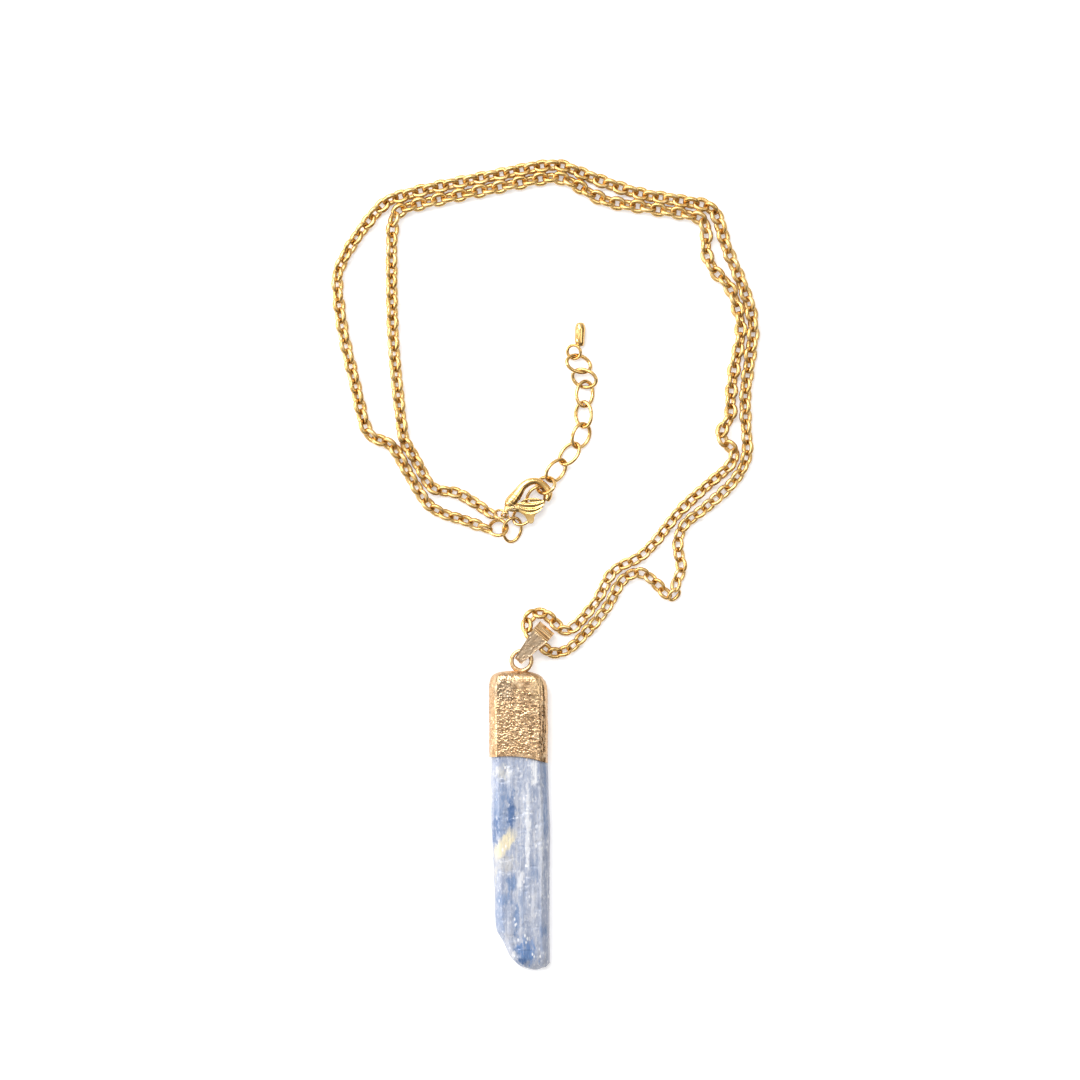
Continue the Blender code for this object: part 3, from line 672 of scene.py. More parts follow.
def make_cap():
    t = CAP_TOP
    st = np.array([
        (670.6, 506.0, 521.0, 1.7, 2.9), (671.2, 501.0, 527.5, 1.3, 3.3),
        (672.2, 497.0, 533.5, 0.95, 3.65), (673.8, 493.6, 537.8, 0.6, 3.95),
        (675.5, 491.6, 540.8, 0.4, 4.15), (678.0, 490.1, 543.6, 0.2, 4.28),
        (681.0, 489.2, 545.6, 0.1, 4.34), (686.0, 488.6, 547.3, 0.02, 4.38),
        (694.0, 488.5, 547.9, 0.0, t), (710.0, 488.4, 548.1, 0.0, t),
        (718.0, 488.5, 547.9, 0.0, t), (725.0, 488.6, 548.6, 0.0, t),
        (735.0, 488.7, 548.0, 0.0, t), (758.5, 488.9, 548.2, 0.0, t),
    ])  # fmt: skip
    n = 300
    k, f = section_params(n)
    w = CAP_WALL
    tt = np.concatenate([np.linspace(0, 1, 30) ** 1.6 * 16.0, np.linspace(16.45, 88.0, 175)])
    ys = 670.6 + tt[tt <= 87.9]
    ys = np.append(ys, 758.5)
    rows = []
    for y in ys:
        xl, xr, zb, zt = (np.interp(y, st[:, 0], st[:, a]) for a in (1, 2, 3, 4))
        p = dense_section(xl, xr, zb, zt, k, f, 7)
        rows.append(np.column_stack([p[:, 0], np.full(n, y), p[:, 1]]))
    V = np.array(rows)
    N = np.array([section_normals(r[:, [0, 2]]) for r in rows])
    # the lower edge follows its curve: the lowest rows slide to it
    share = smoothstep(715.0, 758.5, V[..., 1])
    V[..., 1] += share * (lip_y(V[..., 0]) - 758.5)
    X, Y, Z = V[..., 0].ravel(), V[..., 1].ravel(), V[..., 2].ravel()
    q = np.stack([X / 3.0, Y / 3.4, Z * 1.6], 1)
    d1, d2 = cells(q + 0.25 * np.stack([fbm(q, 2, 5), fbm(q, 2, 6), fbm(q, 2, 7)], 1), 3)
    bead = 0.45 - d1
    q2 = np.stack([X / 1.5, Y / 1.7, Z * 3.2], 1)
    e1, _ = cells(q2, 13)
    grain = 0.45 - e1
    fine = fbm(np.stack([X / 0.9, Y / 1.0, Z * 5.0], 1), 2, 17)
    wrinkle = fbm(np.stack([X / 4.0, Y / 13.0, Z * 1.2], 1), 4, 23)
    vert = fbm(np.stack([X / 1.7, Y / 40.0, Z * 2.5], 1), 2, 29)
    top = smoothstep(0.6, 0.9, Z / t)
    # smoother near the top right, ridged on the right side, plain on the left bevel
    calm = smoothstep(712.0, 676.0, Y) * smoothstep(508.0, 522.0, X)
    bevel = smoothstep(500.5, 498.0, X) * top
    right = smoothstep(534.0, 541.0, X)
    rough = (1 - 0.65 * calm) * (1 - 0.45 * bevel) * (1 - 0.20 * right)
    d = rough * (0.060 * bead + 0.065 * grain + 0.050 * fine) + 0.085 * wrinkle * (1 - 0.4 * bevel) + right * 0.10 * vert
    # the long crease on the right, and folds that run down from the loop
    cx = 540.6 + 1.2 * np.sin((Y - 676) / 17.0)
    d -= 0.13 * np.exp(-(((X - cx) / 1.3) ** 2)) * smoothstep(672, 680, Y) * smoothstep(718, 700, Y) * top
    d -= 0.07 * np.exp(-(((X - (524.5 + (Y - 672) * 0.02)) / 2.2) ** 2)) * smoothstep(700, 680, Y) * top
    d -= 0.07 * np.exp(-(((X - (528.0)) / 1.0) ** 2)) * smoothstep(712, 722, Y) * smoothstep(746, 738, Y) * top
    low = smoothstep(0.0, 0.3, Z)
    lipw = smoothstep(758.5, 750.0, np.repeat(ys, n))
    d = (d - 0.05) * low * (0.35 + 0.65 * lipw)
    d = d.reshape(V.shape[:2])
    V[..., 0] += N[..., 0] * d * MM / STEP
    V[..., 2] = np.maximum(V[..., 2] + N[..., 1] * d, 0.0)
    # wall: the lip turns in, then a plain inner face
    inner = []
    for y, g in ((758.5, 0.35), (757.6, 0.85), (756.0, 1.0), (740.0, 1.0), (715.0, 1.0), (692.0, 1.0), (684.0, 1.6), (679.0, 3.5)):
        xl, xr, zb, zt = (np.interp(y, st[:, 0], st[:, a]) for a in (1, 2, 3, 4))
        p = dense_section(xl + w * g, xr - w * g, zb + 0.36 * g, zt - 0.36 * g, k, f, 7)
        yy = np.full(n, y) + smoothstep(715.0, 758.5, y) * (lip_y(p[:, 0]) - 758.5)
        inner.append(np.column_stack([p[:, 0], yy, p[:, 1]]))
    V = np.concatenate([V, np.array(inner)])
    pts = np.stack([(V[..., 0] - CENTRE[0]) * STEP, (CENTRE[1] - V[..., 1]) * STEP, V[..., 2] * MM], -1)
    verts = pts.reshape(-1, 3).tolist()
    R = len(V)
    faces = grid_faces(R, n)
    for row in (0, R - 1):
        c = pts[row].mean(0)
        verts.append(c.tolist())
        ci = len(verts) - 1
        for i in range(n):
            faces.append((row * n + i, row * n + (i + 1) % n, ci))
    ob = mesh_object("gold_cap_shell", verts, faces)
    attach(ob, PENDANT)
    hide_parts("gold_cap")
    return ob


def make_loop():
    """The cap's ring, thicker where it is set into the cap."""
    n, sides = 120, 24
    th = np.linspace(0, 2 * np.pi, n, endpoint=False)
    wire = LOOP_WIRE * (1 + 0.05 * np.sin(th * 2 + 1) + 0.03 * np.sin(th * 5))
    seat = smoothstep(0.55, 0.95, -np.sin(th))
    wire = wire * (1 + 0.12 * seat)
    mid = np.stack([LOOP_RADIUS * np.cos(th), LOOP_RADIUS * np.sin(th), 0 * th], 1) * STEP + np.array(plan(*LOOP))
    rows = tube_rows(mid, wire * STEP, sides, True)
    d = 0.012 * MM * fbm(rows.reshape(-1, 3) / (1.2 * STEP), 3, 77).reshape(n, sides)
    out = rows - mid[:, None]
    out /= np.linalg.norm(out, axis=2)[..., None]
    rows = rows + out * d[..., None]
    faces = grid_faces(n, sides)
    faces += [((n - 1) * sides + i, (n - 1) * sides + (i + 1) % sides, (i + 1) % sides, i) for i in range(sides)]
    ob = mesh_object("cap_loop_wire", rows.reshape(-1, 3), faces)
    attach(ob, PENDANT)
    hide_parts("cap_loop")
    return ob


# ------------------------------------------------------------------- the bail
BAIL_OUTER = [
    (0.0, 2.2), (0.14, 2.66), (0.55, 2.94), (1.4, 3.1), (2.4, 3.27),
    (3.6, 3.5), (4.8, 3.74), (5.9, 3.95), (6.2, 3.96), (6.45, 3.82),
    (7.2, 3.1), (7.95, 2.36), (8.16, 1.95), (8.2, 1.4), (8.1, 0.8),
    (7.85, 0.32), (7.35, 0.03), (6.6, 0.0), (5.8, 0.02), (4.9, 0.2),
    (3.8, 0.52), (2.7, 0.88), (1.6, 1.24), (0.65, 1.46), (0.14, 1.74),
]  # fmt: skip


def make_bail():
    """The folded strap, u up the strap and z in millimetres, as in the CAD."""
    pts = np.array(BAIL_OUTER + BAIL_OUTER[:1])
    # dense profile along straight and gently rounded runs
    dense = []
    for a, b in zip(pts[:-1], pts[1:]):
        m = max(2, int(np.linalg.norm(b - a) / 0.055))
        for s in range(m):
            dense.append(a + (b - a) * s / m)
    prof = np.array(dense)
    n = len(prof)
    w = np.hanning(9)[1:-1]
    w /= w.sum()
    q = np.concatenate([prof[-3:], prof, prof[:3]])
    prof = np.stack([np.convolve(q[:, a], w, "valid") for a in range(2)], 1)
    t = np.roll(prof, -1, 0) - np.roll(prof, 1, 0)
    t /= np.linalg.norm(t, axis=1)[:, None]
    out = np.stack([-t[:, 1], t[:, 0]], 1)
    if np.sum(out * (prof - prof.mean(0))) < 0:
        out = -out
    cross = 46
    # across the strap: -1 to 1, closer near its edges
    v = np.sin(np.linspace(-1, 1, cross) * np.pi / 2 * 0.97)
    v /= v[-1]
    half = (4.4 + 5.0 * np.clip(prof[:, 0] / 6.3, 0, 1)) * STEP / MM
    rows = []
    # round the strap's section: outside face, edge, inside face, edge
    edge = [(1.0, 0.0), (1.012, 0.12), (1.012, 0.3), (1.0, 0.42)]
    section = [(x, 0.0) for x in v] + [(x, d) for x, d in edge[1:3]] + [(x, BAIL_STRAP) for x in v[::-1]] + [(-x, d) for x, d in edge[1:3][::-1]]
    section = np.array(section)
    u = prof[:, 0][:, None]
    vv = section[:, 0][None] * half[:, None]
    # a shallow crown, so the strap is a little hollow near its edges
    face = section[:, 1] < 0.06
    depth = section[:, 1][None] + np.zeros((n, 1))
    X = np.broadcast_to(u, vv.shape)
    pq = np.stack([X.ravel() / 0.9, vv.ravel() / 0.22, np.repeat(prof[:, 1], section.shape[0]) / 0.5], 1)
    brush = fbm(pq, 3, 71).reshape(vv.shape)
    crink = fbm(pq * np.array([0.9, 0.25, 0.7]), 3, 72).reshape(vv.shape)
    pits = smoothstep(0.28, 0.6, fbm(pq * np.array([3.0, 1.0, 2.0]), 2, 73)).reshape(vv.shape)
    fold = smoothstep(5.7, 6.6, u)
    # streaks on the folded top run along the fold, across the strap
    pf = np.stack([X.ravel() / 0.30, vv.ravel() / 3.0, np.repeat(prof[:, 1], section.shape[0]) / 0.30], 1)
    streak = fbm(pf, 2, 74).reshape(vv.shape)
    rim = smoothstep(0.80, 0.96, np.abs(section[:, 0]))[None]
    dd = -0.035 - (0.030 * brush + 0.030 * crink - 0.05 * pits + 0.035) * (1 - fold) - (0.075 * streak + 0.05) * fold + 0.030 * rim
    dd = np.where(face[None], dd, 0.0)
    off = dd - depth
    P = prof[:, None, :] + out[:, None, :] * off[..., None]
    local = np.stack([P[..., 0], vv, np.maximum(P[..., 1], 0.0)], -1) * MM
    c, s = math.cos(math.radians(BAIL_ANGLE)), math.sin(math.radians(BAIL_ANGLE))
    o = np.array(plan(*BAIL_TIP, 0.0))
    world_pts = np.stack([local[..., 0] * c - local[..., 1] * s, local[..., 0] * s + local[..., 1] * c, local[..., 2]], -1) + o
    m = section.shape[0]
    verts = world_pts.reshape(-1, 3)
    faces = grid_faces(n, m) + [((n - 1) * m + i, (n - 1) * m + (i + 1) % m, (i + 1) % m, i) for i in range(m)]
    ob = mesh_object("bail_strap", verts, faces, 50)
    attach(ob, ROOT)
    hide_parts("bail")
    return ob


# ------------------------------------------------------------------ the clasp
def bar_mesh(name, spine, sides=40, per_span=14, flat=None):
    """A round bar along a spine of (x, y, height mm, radius in steps)."""
    c = catmull(spine, per_span)
    mid = np.array([plan(*q[:3])[:] for q in c])
    rows = tube_rows(mid, c[:, 3] * STEP, sides, False, (0, 0, 1.0), flat)
    v = rows.reshape(-1, 3).tolist()
    faces = grid_faces(len(mid), sides)
    for row, end in ((0, mid[0]), (len(mid) - 1, mid[-1])):
        v.append(end.tolist())
        for i in range(sides):
            faces.append((row * sides + i, row * sides + (i + 1) % sides, len(v) - 1))
    return mesh_object(name, v, faces)


def ring_mesh(name, x, y, z, radius, wire, tilt, steps=64, sides=20):
    th = np.linspace(0, 2 * np.pi, steps, endpoint=False)
    pts = np.stack([radius * STEP * np.cos(th), radius * STEP * np.sin(th), 0 * th], 1)
    rows = tube_rows(pts, wire * STEP, sides, True, (0, 0, 1.0))
    R = np.array(Euler([math.radians(a) for a in tilt]).to_matrix())
    v = rows.reshape(-1, 3) @ R.T + np.array(plan(x, y, z))
    faces = grid_faces(steps, sides)
    faces += [((steps - 1) * sides + i, (steps - 1) * sides + (i + 1) % sides, (i + 1) % sides, i) for i in range(sides)]
    return mesh_object(name, v, faces)


def plate_mesh(name, outline, z0, z1):
    n = len(outline)
    v = [plan(x, y, z0)[:] for x, y in outline] + [plan(x, y, z1)[:] for x, y in outline]
    faces = [tuple(range(n))[::-1], tuple(range(n, 2 * n))] + [(i, (i + 1) % n, n + (i + 1) % n, n + i) for i in range(n)]
    return mesh_object(name, v, faces)


def drum_mesh(name, x, y, z, radius_mm, depth_mm, sides=48, stretch=1.0, turn=0.0):
    bm = bmesh.new()
    bmesh.ops.create_cone(bm, cap_ends=True, segments=sides, radius1=radius_mm * MM, radius2=radius_mm * MM, depth=depth_mm * MM)
    bmesh.ops.transform(bm, matrix=Matrix.Translation(plan(x, y, z)) @ Matrix.Rotation(turn, 4, "Z") @ Matrix.Diagonal((stretch, 1, 1, 1)), verts=bm.verts)
    me = bpy.data.meshes.new(name)
    bm.to_mesh(me)
    bm.free()
    ob = bpy.data.objects.new(name, me)
    bpy.context.scene.collection.objects.link(ob)
    return ob


def blend(ob, steps, voxel_mm=0.045, smooth=3):
    """Joins and cuts, then melts the seams together."""
    for op, other in steps:
        m = ob.modifiers.new(op, "BOOLEAN")
        m.operation, m.solver, m.object = op, "EXACT", other
    r = ob.modifiers.new("melt", "REMESH")
    r.mode, r.voxel_size, r.adaptivity = "VOXEL", voxel_mm * MM, 0.0
    s = ob.modifiers.new("soften", "SMOOTH")
    s.factor, s.iterations = 0.5, smooth
    bpy.context.view_layer.update()
    ev = ob.evaluated_get(bpy.context.evaluated_depsgraph_get())
    me = bpy.data.meshes.new_from_object(ev)
    ob.modifiers.clear()
    old = ob.data
    ob.data = me
    bpy.data.meshes.remove(old)
    for _, other in steps:
        d = other.data
        bpy.data.objects.remove(other, do_unlink=True)
        bpy.data.meshes.remove(d)
    ob.data.shade_smooth()
    return ob


def coords(ob):
    co = np.empty(len(ob.data.vertices) * 3)
    ob.data.vertices.foreach_get("co", co)
    return co.reshape(-1, 3)


def set_coords(ob, co):
    ob.data.vertices.foreach_set("co", co.ravel())
    ob.data.update()


def vertex_normals(ob):
    nrm = np.empty(len(ob.data.vertices) * 3)
    ob.data.vertex_normals.foreach_get("vector", nrm)
    return nrm.reshape(-1, 3)


def make_clasp():
    z = CLASP_Z
    body = bar_mesh("clasp_hook_body", [
        (505.8, 511.8, z + 0.4, 2.0), (507.3, 508.0, z, 3.2),
        (509.8, 504.3, z, 6.0), (513.5, 499.3, z, 6.3),
        (518.0, 493.0, z, 5.1), (523.0, 486.3, z, 4.1),
        (529.0, 482.2, z, 3.9), (535.3, 481.0, z, 3.4),
        (540.6, 482.9, z, 3.3), (545.0, 486.4, z, 3.4),
        (548.3, 490.8, z, 3.7), (548.8, 495.2, z, 3.6),
        (547.7, 499.2, z, 2.9), (546.9, 501.2, z, 1.9),
    ])  # fmt: skip
    jaw = bar_mesh("jaw", [
        (507.0, 508.0, z, 3.6), (510.0, 508.0, z, 5.0),
        (514.5, 508.0, z, 5.5), (519.0, 508.0, z, 5.4),
    ])  # fmt: skip
    eye = ring_mesh("eye", 505.3, 515.2, z, 3.6, 1.2, (50, 0, 0))
    slot = plate_mesh("slot", [(508.8, 500.4), (523.5, 500.4), (523.5, 516.0), (508.8, 516.0)], z - 0.6, z + 0.6)
    bore = drum_mesh("bore", *PIVOT, z, 0.37, 4.4)
    blend(body, [("UNION", jaw), ("UNION", eye), ("DIFFERENCE", slot), ("DIFFERENCE", bore)], 0.042, 3)
    co = coords(body)
    nrm = vertex_normals(body)
    gx, gy = co[:, 0] / STEP + CENTRE[0], CENTRE[1] - co[:, 1] / STEP
    # cast bands that wrap the thick end, and a soft cast surface
    along = (gx - 512.0) * 0.62 - (gy - 500.0) * 0.78 + 0.045 * ((gx - 512.0) * 0.78 + (gy - 500.0) * 0.62) ** 2
    band = np.exp(-(((along + 2.5) / 0.55) ** 2)) + 0.8 * np.exp(-(((along - 2.0) / 0.5) ** 2)) + 0.6 * np.exp(-(((along - 6.0) / 0.5) ** 2))
    top = smoothstep(0.2, 0.7, np.abs(nrm[:, 2]))
    d = -0.035 * MM * band * top + 0.006 * MM * fbm(co / (0.5 * MM), 3, 91) - 0.012 * MM
    clear = (np.hypot(gx - PIVOT[0], gy - PIVOT[1]) > 2.9) & (np.abs(co[:, 2] - z * MM) > 0.62 * MM)
    set_coords(body, co + nrm * (d * clear)[:, None])
    body.data.materials.append(BRIGHT)
    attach(body, ROOT)
    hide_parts("clasp_body")

    outline = [
        (511.0, 504.9), (514.5, 503.9), (519.5, 502.6), (522.3, 500.6),
        (526.0, 498.8), (531.0, 498.0), (536.0, 498.2), (540.5, 499.2),
        (543.7, 500.7), (544.2, 503.0), (542.9, 506.8), (540.3, 510.6),
        (537.0, 513.6), (533.7, 515.9), (534.2, 519.5), (532.8, 523.2),
        (529.6, 523.4), (527.2, 520.2), (524.8, 516.2), (522.0, 514.0),
        (519.5, 512.6), (514.5, 511.8), (511.0, 510.7), (509.9, 507.8),
    ]  # fmt: skip
    dense = catmull([(*p, 0.0) for p in outline + outline[:1]], 5)[:-1, :2]
    lever = plate_mesh("clasp_lever_plate", [tuple(p) for p in dense], z - 0.43, z + 0.43)
    hole = drum_mesh("hole", *PIVOT, z, 0.37, 4.4)
    window = drum_mesh("window", 527.6, 501.6, z, 0.28, 4.4, 40, 1.55, 0.25)
    blend(lever, [("DIFFERENCE", hole), ("DIFFERENCE", window)], 0.036, 4)
    co = coords(lever)
    nrm = vertex_normals(lever)
    gx, gy = co[:, 0] / STEP + CENTRE[0], CENTRE[1] - co[:, 1] / STEP
    # raised ribs that run together at both ends
    upper = 500.3 - 0.045 * (gx - 519.0)
    lower = 513.8 - 0.035 * (gx - 530.0) ** 2
    q = (gy - upper) / np.maximum(lower - upper, 1.0)
    ribs = np.cos(2 * np.pi * np.clip(q, 0, 1) * 2.6 + 0.4)
    inside = smoothstep(518.5, 522.5, gx) * smoothstep(545.5, 541.5, gx) * smoothstep(1.05, 0.85, q) * smoothstep(-0.1, 0.06, q)
    top = smoothstep(0.5, 0.9, np.abs(nrm[:, 2]))
    d = (0.055 * ribs - 0.03) * inside * top * MM
    set_coords(lever, co + nrm * d[:, None])
    lever.data.materials.append(BRIGHT)
    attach(lever, LEVER)
    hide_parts("clasp_lever")

    # the rivet: a shank with domed ends
    prof = [(0.0, -1.0), (0.14, -0.985), (0.24, -0.95), (0.295, -0.88), (0.3, -0.8), (0.3, 0.8), (0.295, 0.88), (0.24, 0.95), (0.14, 0.985), (0.0, 1.0)]
    v, faces, sides = [], [], 40
    for r, h in prof[1:-1]:
        for i in range(sides):
            a = 2 * math.pi * i / sides
            v.append((plan(*PIVOT).x + r * MM * math.cos(a), plan(*PIVOT).y + r * MM * math.sin(a), (z + h) * MM))
    faces = grid_faces(len(prof) - 2, sides)
    for row, h in ((0, -1.0), (len(prof) - 3, 1.0)):
        v.append((plan(*PIVOT).x, plan(*PIVOT).y, (z + h) * MM))
        for i in range(sides):
            faces.append((row * sides + i, row * sides + (i + 1) % sides, len(v) - 1))
    pin = mesh_object("clasp_rivet", v, faces, 50)
    pin.data.materials.append(BRIGHT)
    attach(pin, ROOT)
    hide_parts("clasp_pin")


def make_drop():
    peg = bar_mesh("end_drop_peg", [
        (580.3, 322.2, 0.97, 1.6), (580.3, 323.6, 0.97, 3.9),
        (580.2, 328.0, 0.98, 5.2), (580.0, 334.0, 1.0, 5.1),
        (579.7, 339.5, 1.02, 5.0), (580.2, 343.5, 1.05, 4.4),
        (580.6, 346.2, 1.1, 3.0),
    ], 40, 10)  # fmt: skip
    eye = ring_mesh("drop_eye", 574.0, 351.9, 1.17, 6.95, 1.55, (-14, -20, 72))
    blend(peg, [("UNION", eye)], 0.045, 3)
    co = coords(peg)
    co[:, 2] = np.maximum(co[:, 2], 0.03 * MM)
    set_coords(peg, co)
    peg.data.materials.append(BRIGHT)
    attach(peg, ROOT)
    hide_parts("end_drop")


# ------------------------------------------------- the stone's and cap's looks
def plan_coords(n):
    """The object's own position as plan-grid x and y, and millimetres high."""
    x, y, z = n.xyz()
    gx = n.math("ADD", n.math("MULTIPLY", x, 1 / STEP), CENTRE[0])
    gy = n.math("SUBTRACT", CENTRE[1], n.math("MULTIPLY", y, 1 / STEP))
    return gx, gy, n.math("MULTIPLY", z, 1000.0)


def patch(n, gx, gy, cx, cy, rx, ry, warp=None, lo=0.0, hi=1.0, lean=0.0):
    """A soft oval patch: 1 in the middle, 0 outside."""
    dx = n.math("SUBTRACT", gx, cx)
    dy = n.math("SUBTRACT", gy, cy)
    if lean:
        dx = n.math("ADD", dx, n.math("MULTIPLY", dy, lean))
    a = n.math("MULTIPLY", dx, 1 / rx)
    b = n.math("MULTIPLY", dy, 1 / ry)
    r = n.math("SQRT", n.math("ADD", n.math("MULTIPLY", a, a), n.math("MULTIPLY", b, b)))
    if warp is not None:
        r = n.math("ADD", r, warp)
    return n.span(r, 1.0, 0.35, lo, hi)


def kyanite_material():
    n = Nodes("kyanite_stone")
    gx, gy, gz = plan_coords(n)
    fibre = n.noise(n.scaled(5200, 90, 3000), 1.0, 4.0, 0.6)
    broad = n.noise(n.scaled(700, 60, 500), 1.0, 3.0, 0.55)
    cloud = n.noise(n.scaled(620, 190, 300), 1.0, 4.0, 0.6, 0.6)
    base = n.ramp(broad, [(0.30, (0.26, 0.31, 0.45)), (0.45, (0.36, 0.41, 0.54)), (0.58, (0.46, 0.50, 0.61)), (0.72, (0.61, 0.63, 0.70))])
    mott = n.noise(n.scaled(2300, 900, 1500), 1.0, 5.0, 0.7)
    base = n.mix(n.span(mott, 0.50, 0.68, 0.0, 0.75), base, (0.76, 0.77, 0.80))
    base = n.mix(n.span(mott, 0.48, 0.32, 0.0, 0.55), base, (0.22, 0.28, 0.42))
    grey = n.noise(n.scaled(800, 260, 500), 1.0, 3.0, 0.6)
    base = n.mix(n.span(grey, 0.52, 0.70, 0.0, 0.5), base, (0.50, 0.51, 0.57))
    warp = n.math("MULTIPLY", n.math("SUBTRACT", n.noise(n.scaled(1700, 600, 800), 1.0, 5.0, 0.68), 0.5), 2.8)
    deep = (0.07, 0.15, 0.34)
    mid_blue = (0.15, 0.25, 0.46)
    patches = (
        (503.0, 816.0, 10.0, 24.0, 0.50, mid_blue), (511.5, 813.0, 3.2, 17.0, 0.80, deep),
        (495.0, 829.0, 3.4, 15.0, 0.80, deep), (516.5, 919.0, 2.6, 17.0, 0.65, mid_blue),
        (504.0, 898.0, 7.0, 7.0, 0.55, mid_blue), (512.5, 881.0, 5.0, 10.0, 0.70, mid_blue),
        (526.0, 951.0, 8.5, 13.0, 0.85, (0.17, 0.29, 0.55)), (521.0, 961.0, 6.0, 4.0, 0.55, deep),
        (525.5, 948.8, 7.0, 1.1, 0.45, deep), (543.0, 929.0, 3.2, 7.0, 0.45, mid_blue),
        (536.0, 869.0, 4.0, 16.0, 0.40, mid_blue), (545.5, 790.0, 2.6, 34.0, 0.40, mid_blue),
        (545.0, 822.0, 3.0, 14.0, 0.45, mid_blue), (522.0, 900.0, 3.0, 24.0, 0.35, mid_blue),
        (507.0, 790.0, 5.0, 12.0, 0.35, mid_blue), (500.0, 920.0, 4.0, 14.0, 0.35, mid_blue),
    )  # fmt: skip
    col = base
    for cx, cy, rx, ry, s, c in patches:
        col = n.mix(patch(n, gx, gy, cx, cy, rx * 1.6, ry * 1.3, warp, 0.0, min(1.0, s * 1.2)), col, c)
    # pearly lengthwise streaks
    for cx, cy, rx, ry, s in (
        (534.0, 772.0, 2.4, 16.0, 0.9), (528.0, 828.0, 2.2, 42.0, 0.75), (520.5, 880.0, 3.2, 10.0, 0.8),
        (541.0, 845.0, 2.4, 60.0, 0.40), (508.0, 775.0, 3.0, 12.0, 0.45), (493.5, 777.0, 2.4, 16.0, 0.2),
        (533.0, 905.0, 2.0, 26.0, 0.4), (514.0, 954.0, 2.2, 3.5, 0.8), (523.0, 800.0, 1.8, 24.0, 0.35),
    ):
        col = n.mix(patch(n, gx, gy, cx, cy, rx * 1.5, ry * 1.3, warp, 0.0, min(1.0, s * 1.1)), col, (0.84, 0.85, 0.88))
    # a cream inclusion with a hazy foot
    band = n.math("ADD", n.math("SUBTRACT", gy, 842.5), n.math("MULTIPLY", n.math("SUBTRACT", gx, 505.0), 1.35))
    band = n.math("ABSOLUTE", n.math("ADD", band, n.math("MULTIPLY", warp, 7.0)))
    incl = n.math("MULTIPLY", n.span(band, 12.5, 6.5), patch(n, gx, gy, 504.5, 843.5, 19.0, 25.0))
    incl = n.math("MULTIPLY", incl, n.span(mott, 0.30, 0.50, 0.55, 0.95))
    col = n.mix(incl, col, (0.88, 0.78, 0.54))
    col = n.mix(patch(n, gx, gy, 507.0, 863.0, 11.0, 12.0, warp, 0.0, 0.5), col, (0.62, 0.60, 0.56))
    col = n.mix(patch(n, gx, gy, 494.5, 872.0, 3.0, 12.0, warp, 0.0, 0.6), col, (0.70, 0.66, 0.55))
    col = n.mix(patch(n, gx, gy, 502.0, 772.0, 8.0, 9.0, warp, 0.0, 0.6), col, (0.74, 0.71, 0.62))
    # fine fibres and bright specks
    col = n.mix(n.span(fibre, 0.56, 0.74, 0.0, 0.5), col, (0.80, 0.81, 0.86))
    col = n.mix(n.span(fibre, 0.42, 0.26, 0.0, 0.45), col, (0.20, 0.27, 0.42))
    speck = n.voronoi(n.scaled(1500, 700, 1500), 1.0)
    col = n.mix(n.math("MULTIPLY", n.span(speck, 0.30, 0.12), n.span(cloud, 0.47, 0.60)), col, (0.95, 0.95, 0.97))
    crack = n.voronoi(n.scaled(330, 75, 300, rot=0.25), 1.0, "DISTANCE_TO_EDGE")
    cracks = n.math("MULTIPLY", n.span(crack, 0.035, 0.0), n.span(cloud, 0.42, 0.6))
    col = n.mix(n.math("MULTIPLY", cracks, 0.35), col, (0.70, 0.72, 0.78))
    # painted shade: darker blue-grey on the sides that face sideways or down
    col = n.mix(n.math("MULTIPLY", n.steep(0.1, 0.75), 0.7), col, (0.30, 0.32, 0.42))
    b = n.bump(fibre, 0.35, 0.00004)
    b = n.bump(n.noise(n.scaled(9000, 700, 6000), 1.0, 3.0, 0.6), 0.25, 0.00003, b)
    rough = n.span(cloud, 0.35, 0.65, 0.24, 0.48)
    return n.set(
        Base_Color=col, Roughness=rough, Normal=b, IOR=1.6, Metallic=0.0,
        Subsurface_Weight=0.35, Subsurface_Radius=(0.8, 0.9, 1.0), Subsurface_Scale=0.0009,
        Coat_Weight=0.35, Coat_Roughness=0.16,
    )  # fmt: skip


def cap_material():
    n = Nodes("cap_plate")
    gx, gy, gz = plan_coords(n)
    soft = n.noise(n.scaled(900, 900, 900), 1.0, 4.0, 0.6)
    col = n.ramp(soft, [(0.28, (0.42, 0.24, 0.12)), (0.45, (0.62, 0.39, 0.21)), (0.58, (0.76, 0.51, 0.29)), (0.74, (0.90, 0.70, 0.46))])
    warp = n.math("MULTIPLY", n.math("SUBTRACT", n.noise(n.scaled(1400, 1400, 900), 1.0, 3.0, 0.6), 0.5), 1.4)
    col = n.mix(patch(n, gx, gy, 504.0, 688.0, 15.0, 17.0, warp, 0.0, 0.7), col, (0.40, 0.30, 0.20))
    col = n.mix(patch(n, gx, gy, 538.0, 686.0, 9.0, 20.0, warp, 0.0, 0.55), col, (0.80, 0.58, 0.32))
    fine = n.noise(n.scaled(7000, 7000, 7000), 1.0, 2.0, 0.6)
    # painted glints: scattered pale cream dots mixed into the plate's colour
    painted_glint = n.voronoi(n.scaled(2600, 2300, 2600), 1.0)
    col = n.mix(n.span(painted_glint, 0.30, 0.10, 0.0, 0.55), col, (0.97, 0.88, 0.74))
    # painted shade: darker brown on the sides that face sideways or down
    col = n.mix(n.math("MULTIPLY", n.steep(0.1, 0.85), 0.5), col, (0.36, 0.21, 0.10))
    rough = n.span(n.math("ADD", n.math("MULTIPLY", soft, 0.6), n.math("MULTIPLY", fine, 0.4)), 0.35, 0.65, 0.14, 0.36)
    b = n.bump(fine, 0.25, 0.00002)
    b = n.bump(n.noise(n.scaled(3800, 3300, 3800), 1.0, 3.0, 0.6), 0.45, 0.00005, b)
    return n.set(Base_Color=col, Roughness=rough, Metallic=1.0, Normal=b)


